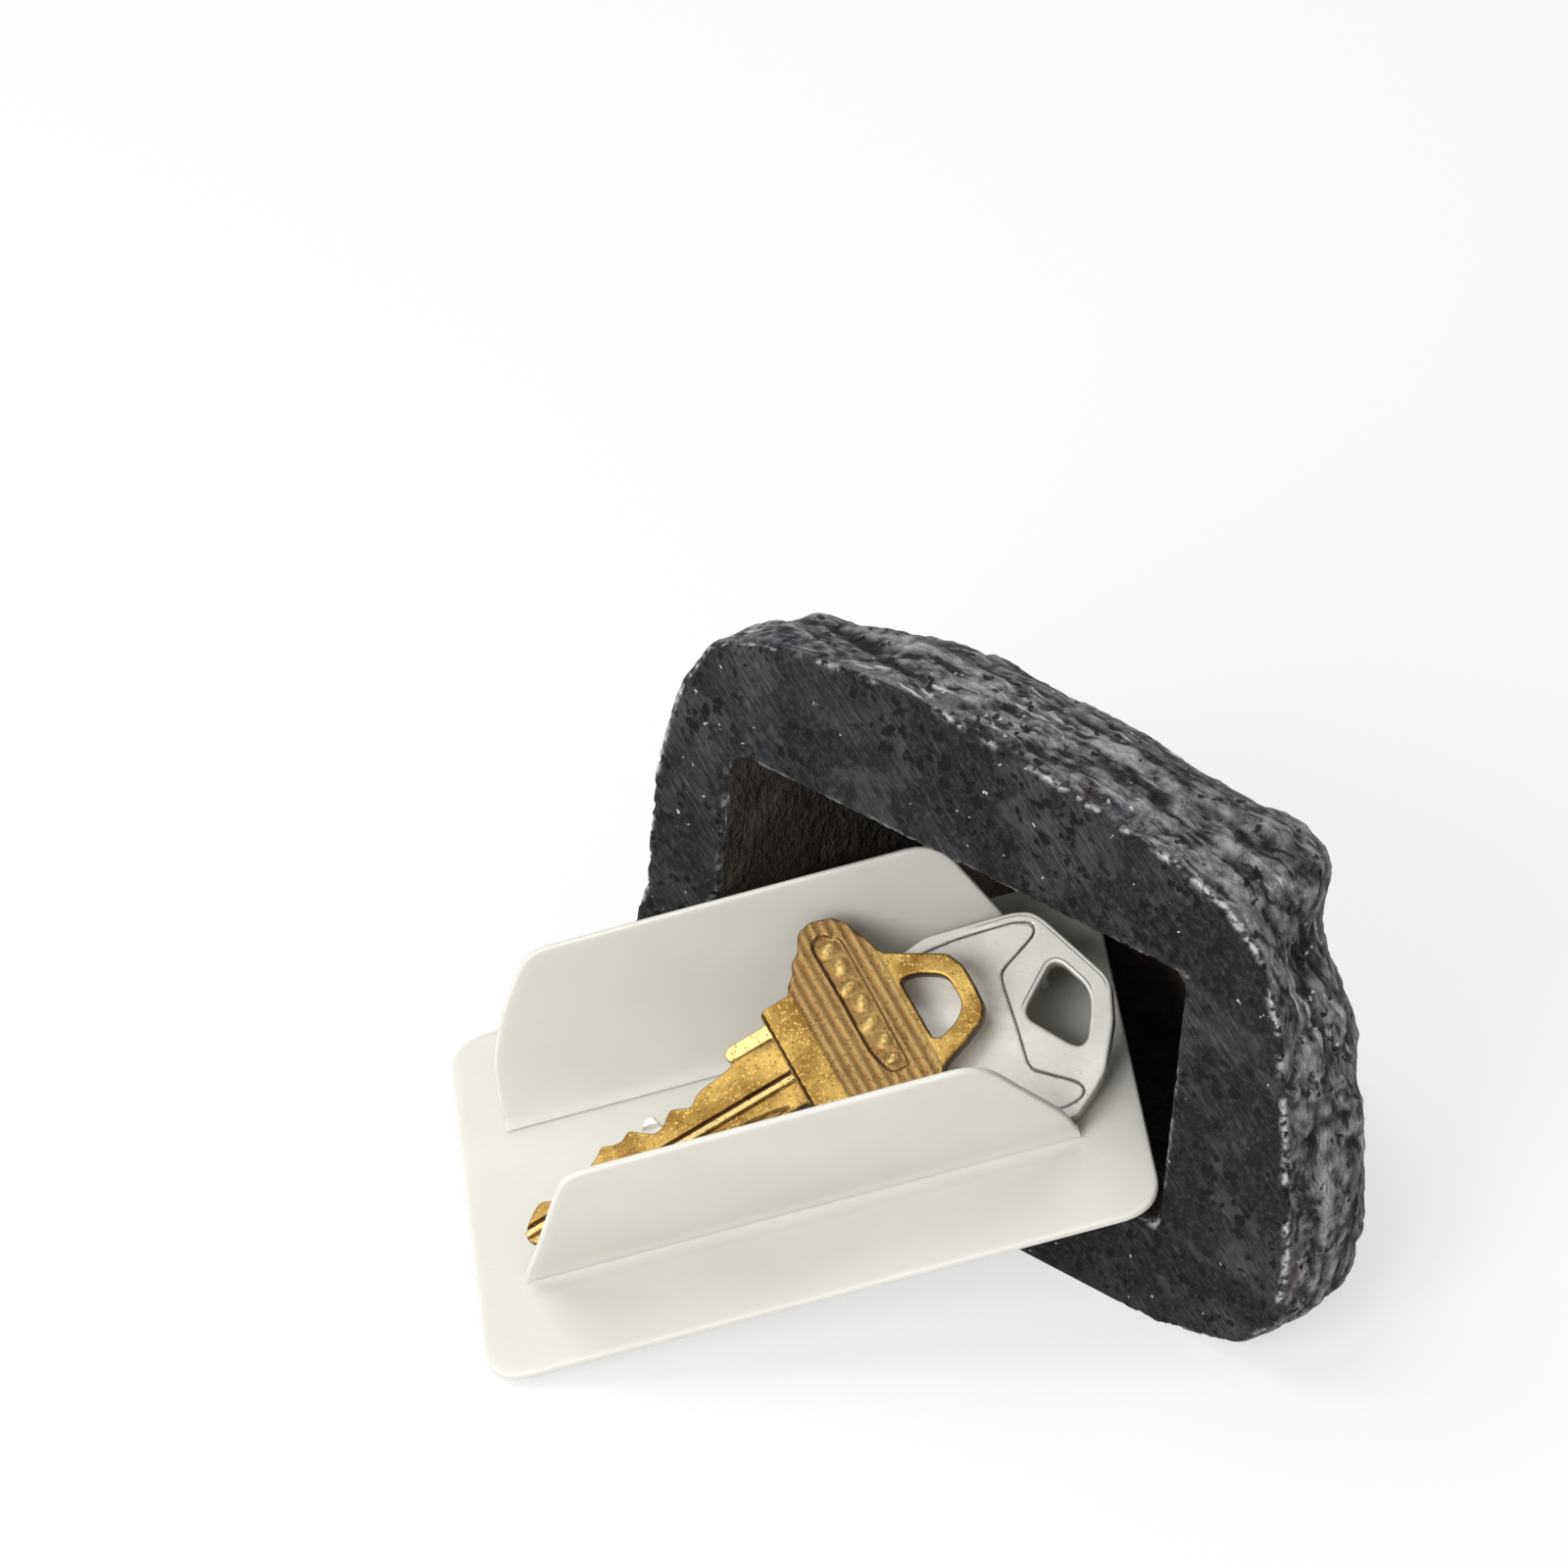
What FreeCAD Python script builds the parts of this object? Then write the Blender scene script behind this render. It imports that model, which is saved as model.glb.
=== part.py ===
import FreeCAD, Part
import math
import os

import Sketcher

Vec = FreeCAD.Vector
Rot = FreeCAD.Rotation
Place = FreeCAD.Placement

os.makedirs("parts", exist_ok=True)
doc = FreeCAD.newDocument("hide_a_key_rock")

# ---------------------------------------------------------------- dimensions
# Millimetres and degrees. One group of cells for each piece.
DIMS = [
    # how the rock lies on its side
    ("lean", 4.5),
    ("base_offset", -3.8),
    # outline of the ground flat base: x along the rock, rise above the floor
    ("rim_a_x", -43.6), ("rim_a_y", 12.0),
    ("rim_b_x", -40.8), ("rim_b_y", 24.5),
    ("rim_c_x", -40.2), ("rim_c_y", 40.5),
    ("rim_d_x", -38.0), ("rim_d_y", 54.0),
    ("rim_e_x", -35.0), ("rim_e_y", 61.6),
    ("rim_f_x", -27.5), ("rim_f_y", 65.3),
    ("rim_g_x", -8.5), ("rim_g_y", 68.0),
    ("rim_h_x", 8.5), ("rim_h_y", 66.0),
    ("rim_i_x", 27.0), ("rim_i_y", 62.6),
    ("rim_j_x", 38.7), ("rim_j_y", 56.1),
    ("rim_k_x", 42.2), ("rim_k_y", 47.5),
    ("rim_l_x", 44.6), ("rim_l_y", 33.5),
    ("rim_m_x", 46.6), ("rim_m_y", 18.0),
    ("rim_n_x", 46.4), ("rim_n_y", 7.5),
    ("rim_o_x", 42.0), ("rim_o_y", 1.6),
    ("rim_p_x", 25.0), ("rim_p_y", -1.0),
    ("rim_q_x", 0.0), ("rim_q_y", -1.5),
    ("rim_r_x", -22.0), ("rim_r_y", -0.5),
    ("rim_s_x", -38.5), ("rim_s_y", 2.6),
    ("rim_t_x", 33.8), ("rim_t_y", 60.1),
    # rings of the casting from the base (0) to the crown (1), which stands its
    # wall behind the cavity's floor; the top side slopes in most, the side it
    # rests on least
    ("ring1_rise", 10.0 / 45), ("ring1_left", -45.0), ("ring1_right", 49.6), ("ring1_top", 67.6), ("ring1_lobe", 1.0),
    ("ring2_rise", 19.0 / 45), ("ring2_left", -44.2), ("ring2_right", 45.6), ("ring2_top", 61.2), ("ring2_lobe", 1.0),
    ("ring3_rise", 27.0 / 45), ("ring3_left", -41.0), ("ring3_right", 38.0), ("ring3_top", 52.8), ("ring3_lobe", 1.0),
    ("ring4_rise", 34.5 / 45), ("ring4_left", -35.5), ("ring4_right", 30.5), ("ring4_top", 43.5), ("ring4_lobe", 1.0),
    ("ring5_rise", 41.0 / 45), ("ring5_left", -27.5), ("ring5_right", 22.5), ("ring5_top", 31.0), ("ring5_lobe", 1.0),
    ("ring6_rise", 1.0), ("ring6_left", -17.0), ("ring6_right", 11.5), ("ring6_top", 20.0), ("ring6_lobe", 0.6),
    # key cavity sunk into the base
    ("cavity_left", -30.2), ("cavity_right", 30.2),
    ("cavity_top", 48.7), ("cavity_bottom_right", 13.4),
    ("cavity_elbow_x", -30.8), ("cavity_elbow_y", 29.0),
    ("cavity_toe_x", -40.2), ("cavity_toe_y", 7.0),
    ("cavity_depth", 33.0), ("cavity_point", 110.0), ("cavity_aim_x", 3.4), ("cavity_aim_y", 7.5),
    ("cavity_corner", 2.2), ("crown_wall", 12.0),
    ("lip_break", 0.45),
    # moulded insert
    ("plate_long", 76.0), ("plate_wide", 50.4), ("plate_thick", 0.9), ("plate_corner", 4.2),
    ("fold_near", 13.0), ("fold_far", 36.1), ("fold_bead", 0.5), ("fold_gap", 0.3),
    ("wing_thick", 0.8), ("wing_start", 5.6), ("wing_end", 68.9), ("wing_high", 20.9),
    ("wing_mid_in_left", 3.6), ("wing_mid_high_left", 11.0),
    ("wing_top_in_left", 8.6), ("wing_top_in_right", 7.2), ("wing_top_round", 3.0), ("wing_flare", 14.0),
    # nickel silver key
    ("silver_thick", 2.0), ("silver_bow_long", 26.2), ("silver_bow_half", 12.4),
    ("silver_blade_long", 28.6), ("silver_blade_half", 4.0), ("silver_panel_deep", 0.18),
    ("silver_hole_left", 16.1), ("silver_hole_right", 23.4), ("silver_hole_half", 5.0),
    ("silver_lean", 22.5), ("silver_u", 50.0), ("silver_v", 14.1), ("silver_w", 1.3), ("silver_q", 12.7),
    # brass key
    ("brass_thick", 2.1), ("brass_reach", 34.4), ("brass_blade_low", 4.0), ("brass_blade_high", 4.7),
    ("brass_neck_half", 7.7), ("brass_bow_half", 13.8), ("brass_ring_half", 7.3), ("brass_ring_axis", -0.9), ("brass_bow_end", 22.2),
    ("brass_hole_from", 15.3), ("brass_hole_to", 20.2), ("brass_hole_half", 4.2), ("brass_hole_axis", -1.35),
    ("brass_rib_deep", 0.25), ("brass_panel_deep", 0.45), ("brass_collar_deep", 0.3),
    ("brass_groove_deep", 0.5), ("brass_tab_long", 5.6), ("brass_tab_low", 4.5), ("brass_tab_high", 1.6),
    ("brass_lean", 25.5), ("brass_turn", 15.6), ("brass_dip", 2.4),
    ("brass_u", 40.0), ("brass_q", 12.0), ("brass_v", 13.8), ("brass_w", 4.0),
    # where the insert lies: its near left corner on the floor
    ("insert_x", -21.02), ("insert_y", -55.36), ("insert_z", -0.21),
    ("insert_yaw", 42.94), ("insert_pitch", -14.85), ("insert_roll", 4.46),
    # from the cavity's middle to the middle of the whole object's footprint
    ("row_x", -2.391), ("row_y", -5.636),
]

sheet = doc.addObject("Spreadsheet::Sheet", "Dims")
sheet.Label = "Dims"
for row, (name, value) in enumerate(DIMS, start=1):
    sheet.set("A%d" % row, name)
    sheet.set("B%d" % row, repr(value))
    sheet.setAlias("B%d" % row, name)
doc.recompute()


def dim(name):
    return float(sheet.get(name))


def new_body(node):
    body = doc.addObject("PartDesign::Body", node)
    body.Label = node
    return body


def origin_plane(body, role):
    for feature in body.Origin.OriginFeatures:
        if feature.Role == role:
            return feature
    raise ValueError(role)


def new_sketch(body, name, role="XY_Plane", lift=None):
    sketch = body.newObject("Sketcher::SketchObject", name)
    sketch.AttachmentSupport = [(origin_plane(body, role), "")]
    sketch.MapMode = "FlatFace"
    if lift is not None:
        sketch.setExpression(".AttachmentOffset.Base.z", lift)
    return sketch


def tie(sketch, kind, first, second, value, expression):
    index = sketch.addConstraint(Sketcher.Constraint(kind, -1, 1, first, second, value))
    if expression:
        sketch.setExpression("Constraints[%d]" % index, expression)


def polygon(sketch, corners):
    """corners: (x, y, x expression, y expression)"""
    total = len(corners)
    first = sketch.GeometryCount
    for i in range(total):
        a = corners[i]
        b = corners[(i + 1) % total]
        sketch.addGeometry(Part.LineSegment(Vec(a[0], a[1], 0), Vec(b[0], b[1], 0)), False)
    for i in range(total):
        sketch.addConstraint(
            Sketcher.Constraint("Coincident", first + i, 2, first + (i + 1) % total, 1)
        )
    for i, corner in enumerate(corners):
        if len(corner) > 2 and corner[2]:
            tie(sketch, "DistanceX", first + i, 1, corner[0], corner[2])
        if len(corner) > 2 and corner[3]:
            tie(sketch, "DistanceY", first + i, 1, corner[1], corner[3])


def circle(sketch, x, y, radius, expression=None):
    index = sketch.addGeometry(Part.Circle(Vec(x, y, 0), Vec(0, 0, 1), radius), False)
    number = sketch.addConstraint(Sketcher.Constraint("Radius", index, radius))
    if expression:
        sketch.setExpression("Constraints[%d]" % number, expression)


def pad(body, sketch, name, length, midplane=False, reverse=False):
    feature = body.newObject("PartDesign::Pad", name)
    feature.Profile = sketch
    feature.setExpression("Length", length)
    if midplane:
        feature.SideType = "Symmetric"
    feature.Reversed = reverse
    sketch.Visibility = False
    doc.recompute()
    return feature


def pocket(body, sketch, name, length=None, reverse=False, midplane=False):
    before = body.Shape.Volume
    feature = body.newObject("PartDesign::Pocket", name)
    feature.Profile = sketch
    if length is None:
        feature.Type = 1
    else:
        feature.setExpression("Length", length)
    if midplane:
        feature.SideType = "Symmetric"
    feature.Reversed = reverse
    sketch.Visibility = False
    doc.recompute()
    if body.Shape.Volume > before - 1e-3:
        raise ValueError(name + " removed nothing")
    return feature


def dress(body, kind, name, edges, prop, expression):
    """fillet or chamfer on the edges of the body's tip"""
    base = body.Tip
    feature = body.newObject("PartDesign::" + kind, name)
    feature.Base = (base, edges)
    feature.setExpression(prop, expression)
    base.Visibility = False
    doc.recompute()
    if feature.Shape.isNull() or not feature.Shape.isValid():
        raise ValueError(name + " failed")
    body.Tip = feature
    return feature


def edges_where(shape, test):
    return ["Edge%d" % (i + 1) for i, edge in enumerate(shape.Edges) if test(edge)]


# ------------------------------------------------------------- the cast rock
# Drawn standing on its base: x along the rock, -y up the tipped base, +z from
# the base towards the crown.
rock = new_body("rock_body")
CROWN = "(Dims.cavity_depth + Dims.crown_wall)"
RIM = "a b c d e f g h i t j k l m n o p q r s".split()
# how far each ring bulges out at each rim point: the knob stands at t
BULGE = [
    [],
    [0.3, -0.5, 0.4, -0.3, -3.6, -2.4, 0.0, 1.0, 2.6, 4.0, -1.6, -2.0, 0.0, 0.0, -1.4, -1.0, 0.4, -0.3, 0.5, -0.4],
    [-0.6, 0.7, -0.6, 0.2, -2.8, -3.2, -0.2, 1.1, 2.2, 2.0, -3.4, -3.4, -2.2, -1.2, -0.5, -0.9, -0.4, 0.5, -0.3, 0.4],
    [0.9, -0.4, 0.8, 0.7, 0.2, -0.6, 0.6, 0.8, 1.2, 0.6, -2.4, -2.2, -1.4, 0.0, 0.6, 0.3, -0.5, 0.3, 0.6, -0.6],
    [-0.8, 1.0, -0.4, -1.0, 0.8, 1.1, -0.7, -1.0, 0.6, 0.9, 0.2, -0.8, 0.5, 0.9, -0.6, -0.3, 0.7, -0.5, 0.4, 0.8],
    [0.7, -0.9, 0.6, 1.1, -0.8, -0.4, 1.0, 0.6, -0.9, -0.5, 0.8, 1.0, -0.6, -0.9, 0.7, 0.3, -0.6, 0.6, -0.5, -0.4],
    [0.5, -0.6, 0.8, -0.4, 0.7, 0.2, -0.8, 0.5, 0.3, -0.6, 0.8, -0.3, 0.6, 0.4, -0.7, 0.5, -0.4, 0.6, -0.2, 0.3],
]


def ring_points(level):
    corners = []
    for i, letter in enumerate(RIM):
        x = dim("rim_%s_x" % letter)
        y = dim("rim_%s_y" % letter)
        if level == 0:
            corners.append((x, -y, "Dims.rim_%s_x" % letter, "-Dims.rim_%s_y" % letter))
            continue
        left = dim("ring%d_left" % level)
        right = dim("ring%d_right" % level)
        px = left + (x - dim("rim_a_x")) * (right - left) / (dim("rim_m_x") - dim("rim_a_x"))
        py = y * dim("ring%d_top" % level) / dim("rim_g_y")
        ex = "Dims.ring{0}_left + (Dims.rim_{1}_x - Dims.rim_a_x) * (Dims.ring{0}_right - Dims.ring{0}_left)"
        ex += " / (Dims.rim_m_x - Dims.rim_a_x) + {2} * Dims.ring{0}_lobe"
        ey = "-(Dims.rim_{1}_y * Dims.ring{0}_top / Dims.rim_g_y + {2} * Dims.ring{0}_lobe)"
        away = Vec(px, py - 0.45 * dim("ring%d_top" % level), 0).normalize() * BULGE[level][i]
        px += away.x * dim("ring%d_lobe" % level)
        py += away.y * dim("ring%d_lobe" % level)
        corners.append((px, -py, ex.format(level, letter, away.x), ey.format(level, letter, away.y)))
    return corners


rings = []
for level in range(7):
    ring = new_sketch(rock, "rock_ring_%d" % level, lift=CROWN + " * Dims.ring%d_rise" % level if level else None)
    polygon(ring, ring_points(level))
    rings.append(ring)
doc.recompute()
casting = rock.newObject("PartDesign::AdditiveLoft", "rock_casting")
casting.Profile = rings[0]
casting.Sections = rings[1:]
casting.Ruled = True
doc.recompute()
rock.Tip = casting
for ring in rings:
    ring.Visibility = False

# flat facet the tipped rock rests on
facet = new_sketch(rock, "rest_facet", "YZ_Plane")
slope = math.tan(math.radians(dim("lean")))
past = 1.5 * (dim("cavity_depth") + dim("crown_wall"))
before = 0.2 * past
polygon(facet, [
    (-slope * past, past, "-tan(Dims.lean * 1 deg) * 1.5 * " + CROWN, "1.5 * " + CROWN),
    (0.0, 0.0),
    (slope * before, -before, "tan(Dims.lean * 1 deg) * 0.3 * " + CROWN, "-0.3 * " + CROWN),
    (past, -before, "1.5 * " + CROWN, "-0.3 * " + CROWN),
    (past, past, "1.5 * " + CROWN, "1.5 * " + CROWN),
])
doc.recompute()
rest = pocket(rock, facet, "rest_cut", "3 * (Dims.rim_m_x - Dims.rim_a_x)", midplane=True)

# key cavity sunk into the base, its toe reaching further left at the bottom;
# it narrows evenly towards one point as the casting does
def cavity_outline(sketch, deep):
    corners = []
    for cx, cy in (("left", "top"), ("right", "top"), ("right", "bottom_right"), ("toe_x", "toe_y"),
                   ("elbow_x", "elbow_y")):
        x = dim("cavity_" + cx)
        y = dim("cavity_" + cy)
        ex = "Dims.cavity_" + cx
        ey = "-Dims.cavity_" + cy
        if deep:
            tight = 1.0 - dim("cavity_depth") / dim("cavity_point")
            x = dim("cavity_aim_x") + (x - dim("cavity_aim_x")) * tight
            y = dim("cavity_aim_y") + (y - dim("cavity_aim_y")) * tight
            share = "(1 - Dims.cavity_depth / Dims.cavity_point)"
            ex = "Dims.cavity_aim_x + (%s - Dims.cavity_aim_x) * %s" % (ex, share)
            ey = "-Dims.cavity_aim_y + (%s + Dims.cavity_aim_y) * %s" % (ey, share)
        corners.append((x, -y, ex, ey))
    polygon(sketch, corners)


mouth = new_sketch(rock, "cavity_mouth")
cavity_outline(mouth, False)
floor = new_sketch(rock, "cavity_floor", lift="Dims.cavity_depth")
cavity_outline(floor, True)
doc.recompute()
before = rock.Shape.Volume
cavity = rock.newObject("PartDesign::SubtractiveLoft", "key_cavity")
cavity.Profile = mouth
cavity.Sections = [floor]
cavity.Ruled = True
doc.recompute()
if rock.Shape.Volume > before - 1000:
    raise ValueError("key_cavity removed nothing")
mouth.Visibility = False
floor.Visibility = False


def in_mouth(box):
    ease = 0.5 * dim("lip_break")
    across = box.XMin > dim("cavity_toe_x") - ease and box.XMax < dim("cavity_right") + ease
    return across and box.YMin > -dim("cavity_top") - ease and box.YMax < -dim("cavity_toe_y") + ease


def cavity_upright(edge):
    box = edge.BoundBox
    return in_mouth(box) and box.ZMin < 0.1 and abs(box.ZMax - dim("cavity_depth")) < 0.1


dress(rock, "Fillet", "cavity_corners", edges_where(rock.Shape, cavity_upright), "Radius", "Dims.cavity_corner")


def cavity_rim(edge):
    return in_mouth(edge.BoundBox) and edge.BoundBox.ZMax < 0.05


dress(rock, "Chamfer", "worn_lip", edges_where(rock.Shape, cavity_rim), "Size", "Dims.lip_break")
rock.setExpression(".Placement.Base.y", "Dims.base_offset - Dims.row_y")
rock.setExpression(".Placement.Base.x", "-Dims.row_x")
rock.Placement = Place(Vec(0, dim("base_offset"), 0), Rot(Vec(1, 0, 0), -(90.0 + dim("lean"))))

# -------------------------------------------------------- the moulded insert
# Its own frame: x along the plate, y across it, z up from its underside, with
# the origin in the corner that rests on the floor.
insert_turn = Rot(dim("insert_yaw"), dim("insert_pitch"), dim("insert_roll"))
insert_at = Vec(dim("insert_x") - dim("row_x"), dim("insert_y") - dim("row_y"), dim("insert_z"))
insert_place = Place(insert_at, insert_turn)

plate = new_body("cover_plate")
plan = new_sketch(plate, "plate_outline")
polygon(plan, [
    (0.0, 0.0, None, None),
    (dim("plate_long"), 0.0, "Dims.plate_long", None),
    (dim("plate_long"), dim("plate_wide"), "Dims.plate_long", "Dims.plate_wide"),
    (0.0, dim("plate_wide"), None, "Dims.plate_wide"),
])
pad(plate, plan, "plate_sheet", "Dims.plate_thick")
uprights = edges_where(
    plate.Shape, lambda e: abs(e.BoundBox.ZMax - e.BoundBox.ZMin - dim("plate_thick")) < 1e-3
)
dress(plate, "Fillet", "plate_corners", uprights, "Radius", "Dims.plate_corner")
plate.Placement = insert_place


def make_wing(node):
    wing = new_body(node)
    # x along the fold, y up the wing, thickness along z; the fold's axis is x
    face = new_sketch(wing, node + "_outline")
    length = dim("wing_end") - dim("wing_start")
    left = dim("wing_mid_in_left")
    top_left = dim("wing_top_in_left")
    top_right = dim("wing_top_in_right")
    high = dim("wing_high")
    polygon(face, [
        (0.0, 0.0, None, None),
        (length, 0.0, "Dims.wing_end - Dims.wing_start", None),
        (length - top_right * 0.12, 5.2, "Dims.wing_end - Dims.wing_start - 0.12 * Dims.wing_top_in_right", None),
        (length - top_right, high, "Dims.wing_end - Dims.wing_start - Dims.wing_top_in_right", "Dims.wing_high"),
        (top_left, high, "Dims.wing_top_in_left", "Dims.wing_high"),
        (left, dim("wing_mid_high_left"), "Dims.wing_mid_in_left", "Dims.wing_mid_high_left"),
    ])
    pad(wing, face, node + "_sheet", "Dims.wing_thick", midplane=True)
    corners = edges_where(
        wing.Shape,
        lambda e: abs(e.BoundBox.ZMax - e.BoundBox.ZMin - dim("wing_thick")) < 1e-3
        and e.BoundBox.YMin > high - 0.01,
    )
    dress(wing, "Fillet", node + "_corners", corners, "Radius", "Dims.wing_top_round")
    bead = new_sketch(wing, node + "_bead_section", "YZ_Plane")
    circle(bead, 0.0, 0.0, dim("fold_bead"), "Dims.fold_bead")
    pad(wing, bead, node + "_bead", "Dims.wing_end - Dims.wing_start")
    return wing


lift = dim("plate_thick") + dim("fold_gap") + dim("fold_bead")
far_wing = make_wing("far_wing")
far_place = Place(Vec(dim("wing_start"), dim("fold_far"), lift), Rot(Vec(1, 0, 0), 90.0 - dim("wing_flare")))
far_wing.Placement = insert_place * far_place
near_wing = make_wing("near_wing")
near_place = Place(Vec(dim("wing_start"), dim("fold_near"), lift), Rot(Vec(1, 0, 0), 90.0 + dim("wing_flare")))
near_wing.Placement = insert_place * near_place

# ------------------------------------------------------- the nickel silver key
# x from the shoulder towards the bow, y across, z through the thickness
silver = new_body("silver_key")
bow = new_sketch(silver, "silver_bow")
half = dim("silver_bow_half")
end = dim("silver_bow_long")
far_side = [(end, 1.2), (end - 0.3, 2.6), (end - 5.4, half - 1.8), (end - 6.6, half - 0.5), (end - 8.6, half),
            (end - 18.8, half - 0.2), (end - 21.6, half - 1.3), (1.6, half - 3.0), (-1.2, 6.6), (-1.4, 4.0)]
near_side = [(-1.4, -4.0), (-1.2, -6.6), (1.6, 3.0 - half), (end - 21.6, 1.3 - half), (end - 18.8, 0.2 - half),
             (end - 7.2, -half), (end - 4.4, 2.5 - half), (end - 2.9, 4.2 - half), (end - 0.7, -2.8)]
polygon(bow, far_side + near_side)
pad(silver, bow, "silver_bow_pad", "Dims.silver_thick")
blade = new_sketch(silver, "silver_blade")
reach = dim("silver_blade_long")
blade_half = dim("silver_blade_half")
polygon(blade, [
    (-1.0, -blade_half, None, "-Dims.silver_blade_half"),
    (-1.0, blade_half, None, "Dims.silver_blade_half"),
    (-4.2, blade_half, None, "Dims.silver_blade_half"),
    (-5.6, 2.4), (-7.4, 2.4), (-9.2, 3.6), (-10.8, 1.4), (-12.4, 1.4), (-14.0, 2.9), (-15.6, 1.9),
    (-17.2, 1.9), (-18.8, 3.2), (-20.4, 0.8), (-22.0, 0.8), (-23.8, 2.4), (-25.2, 2.4),
    (-reach, -1.4, "-Dims.silver_blade_long", None),
    (-reach + 2.0, -blade_half, "-Dims.silver_blade_long + 2", "-Dims.silver_blade_half"),
])
pad(silver, blade, "silver_blade_pad", "Dims.silver_thick")
hole = new_sketch(silver, "silver_hole")
hole_half = dim("silver_hole_half")
polygon(hole, [
    (dim("silver_hole_left"), 0.7, "Dims.silver_hole_left", None),
    (20.2, hole_half, None, "Dims.silver_hole_half"),
    (21.4, hole_half - 0.3), (dim("silver_hole_right"), 1.0, "Dims.silver_hole_right", None),
    (dim("silver_hole_right"), -1.0, "Dims.silver_hole_right", None),
    (21.4, -hole_half + 0.3), (20.2, -hole_half, None, "-Dims.silver_hole_half"),
    (dim("silver_hole_left"), -0.7, "Dims.silver_hole_left", None),
])
pocket(silver, hole, "silver_hole_cut", None, midplane=True)
panel = new_sketch(silver, "silver_panel", lift="Dims.silver_thick")
polygon(panel, [
    (3.4, 8.6), (6.6, 10.2), (17.0, 11.1), (19.2, 9.8), (14.9, 6.0),
    (14.9, -6.0), (19.2, -9.8), (17.0, -11.1), (6.6, -10.2), (3.4, -8.6),
])
pocket(silver, panel, "silver_panel_cut", "Dims.silver_panel_deep")
keyway = new_sketch(silver, "silver_keyway", lift="Dims.silver_thick")
polygon(keyway, [(-reach - 1, -0.9), (-1.6, -0.9), (-1.6, -2.3), (-reach - 1, -2.3)])
pocket(silver, keyway, "silver_keyway_cut", "Dims.silver_thick * 0.3")
silver_seat = Place(Vec(0, dim("silver_v"), dim("silver_w")), Rot(Vec(1, 0, 0), dim("silver_lean")))
silver.Placement = insert_place * silver_seat * Place(Vec(dim("silver_u"), dim("silver_q"), 0), Rot())

# --------------------------------------------------------------- the brass key
brass = new_body("brass_key")
bow = new_sketch(brass, "brass_bow")
neck = dim("brass_neck_half")
half = dim("brass_bow_half")
loop = dim("brass_ring_half")
end = dim("brass_bow_end")
axis = dim("brass_ring_axis")
far_side = [(end, axis + 1.4), (end - 0.9, axis + 3.5), (end - 4.6, axis + loop - 1.5), (15.2, axis + loop),
            (14.3, half - 4.8), (13.4, half - 2.3), (12.3, half - 0.9), (9.8, half), (8.0, half - 0.5), (7.1, half - 2.3),
            (5.7, half - 3.2), (5.3, half - 4.4), (4.2, neck + 1.0), (3.9, neck), (0.5, neck), (0.0, neck - 0.5)]
near_side = [(0.0, 0.5 - neck), (0.5, -neck), (3.9, -neck), (4.2, -neck - 1.0), (5.3, 4.4 - half), (5.7, 3.2 - half),
             (7.1, 2.3 - half), (8.0, 0.5 - half), (9.8, -half), (12.3, 0.9 - half), (13.4, 2.3 - half),
             (14.3, 4.8 - half), (15.2, axis - loop), (18.4, axis - loop + 1.0), (end - 1.3, axis - loop + 2.1),
             (end - 0.2, axis - loop + 3.5), (end, axis - 1.2)]
polygon(bow, far_side + near_side)
pad(brass, bow, "brass_bow_pad", "Dims.brass_thick")
blade = new_sketch(brass, "brass_blade")
reach = dim("brass_reach")
high = dim("brass_blade_high")
low = dim("brass_blade_low")
polygon(blade, [
    (0.5, -low, None, "-Dims.brass_blade_low"), (0.5, high, None, "Dims.brass_blade_high"),
    (-2.4, high), (-4.4, high), (-6.0, 4.0), (-10.1, 3.5), (-11.7, 2.4), (-13.8, 3.4), (-15.4, 2.1),
    (-16.5, 1.9), (-17.6, 2.7), (-18.9, 3.8), (-20.1, 3.1), (-21.1, 3.2), (-22.4, 3.8), (-23.7, 2.8),
    (-25.0, 2.4), (-26.4, 2.8), (-27.4, 1.6), (-29.4, 1.0), (-31.2, 1.9), (-32.4, 1.3),
    (-reach, -0.3, "-Dims.brass_reach", None),
    (-reach, -1.6, "-Dims.brass_reach", None),
    (-reach + 3.0, -low, "-Dims.brass_reach + 3", "-Dims.brass_blade_low"),
])
pad(brass, blade, "brass_blade_pad", "Dims.brass_thick")
tab = new_sketch(brass, "brass_tab")
low = dim("brass_tab_low")
high = low + dim("brass_tab_high")
long = dim("brass_tab_long")
polygon(tab, [(0.4, low), (0.4, high), (0.6 - long, high), (-long, high - 0.6), (-long, low + 0.6), (0.6 - long, low)])
pad(brass, tab, "brass_tab_pad", "Dims.brass_thick")
collar = new_sketch(brass, "brass_collar", lift="Dims.brass_thick")
polygon(collar, [(-reach - 1, -12.0), (-reach - 1, 12.0), (-0.05, 12.0), (-0.05, -12.0)])
pocket(brass, collar, "brass_collar_step", "Dims.brass_collar_deep")
hole = new_sketch(brass, "brass_hole")
eye = dim("brass_hole_half")
mid = dim("brass_hole_axis")
polygon(hole, [
    (dim("brass_hole_from"), mid + eye, "Dims.brass_hole_from", "Dims.brass_hole_axis + Dims.brass_hole_half"),
    (17.4, mid + eye - 0.6), (dim("brass_hole_to"), mid + 1.8, "Dims.brass_hole_to", None),
    (dim("brass_hole_to"), mid - 2.0, "Dims.brass_hole_to", None), (18.5, mid - eye + 0.9),
    (dim("brass_hole_from"), mid - eye, "Dims.brass_hole_from", "Dims.brass_hole_axis - Dims.brass_hole_half"),
])
pocket(brass, hole, "brass_hole_cut", None, midplane=True)
panel = new_sketch(brass, "brass_panel", lift="Dims.brass_thick")
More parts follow.
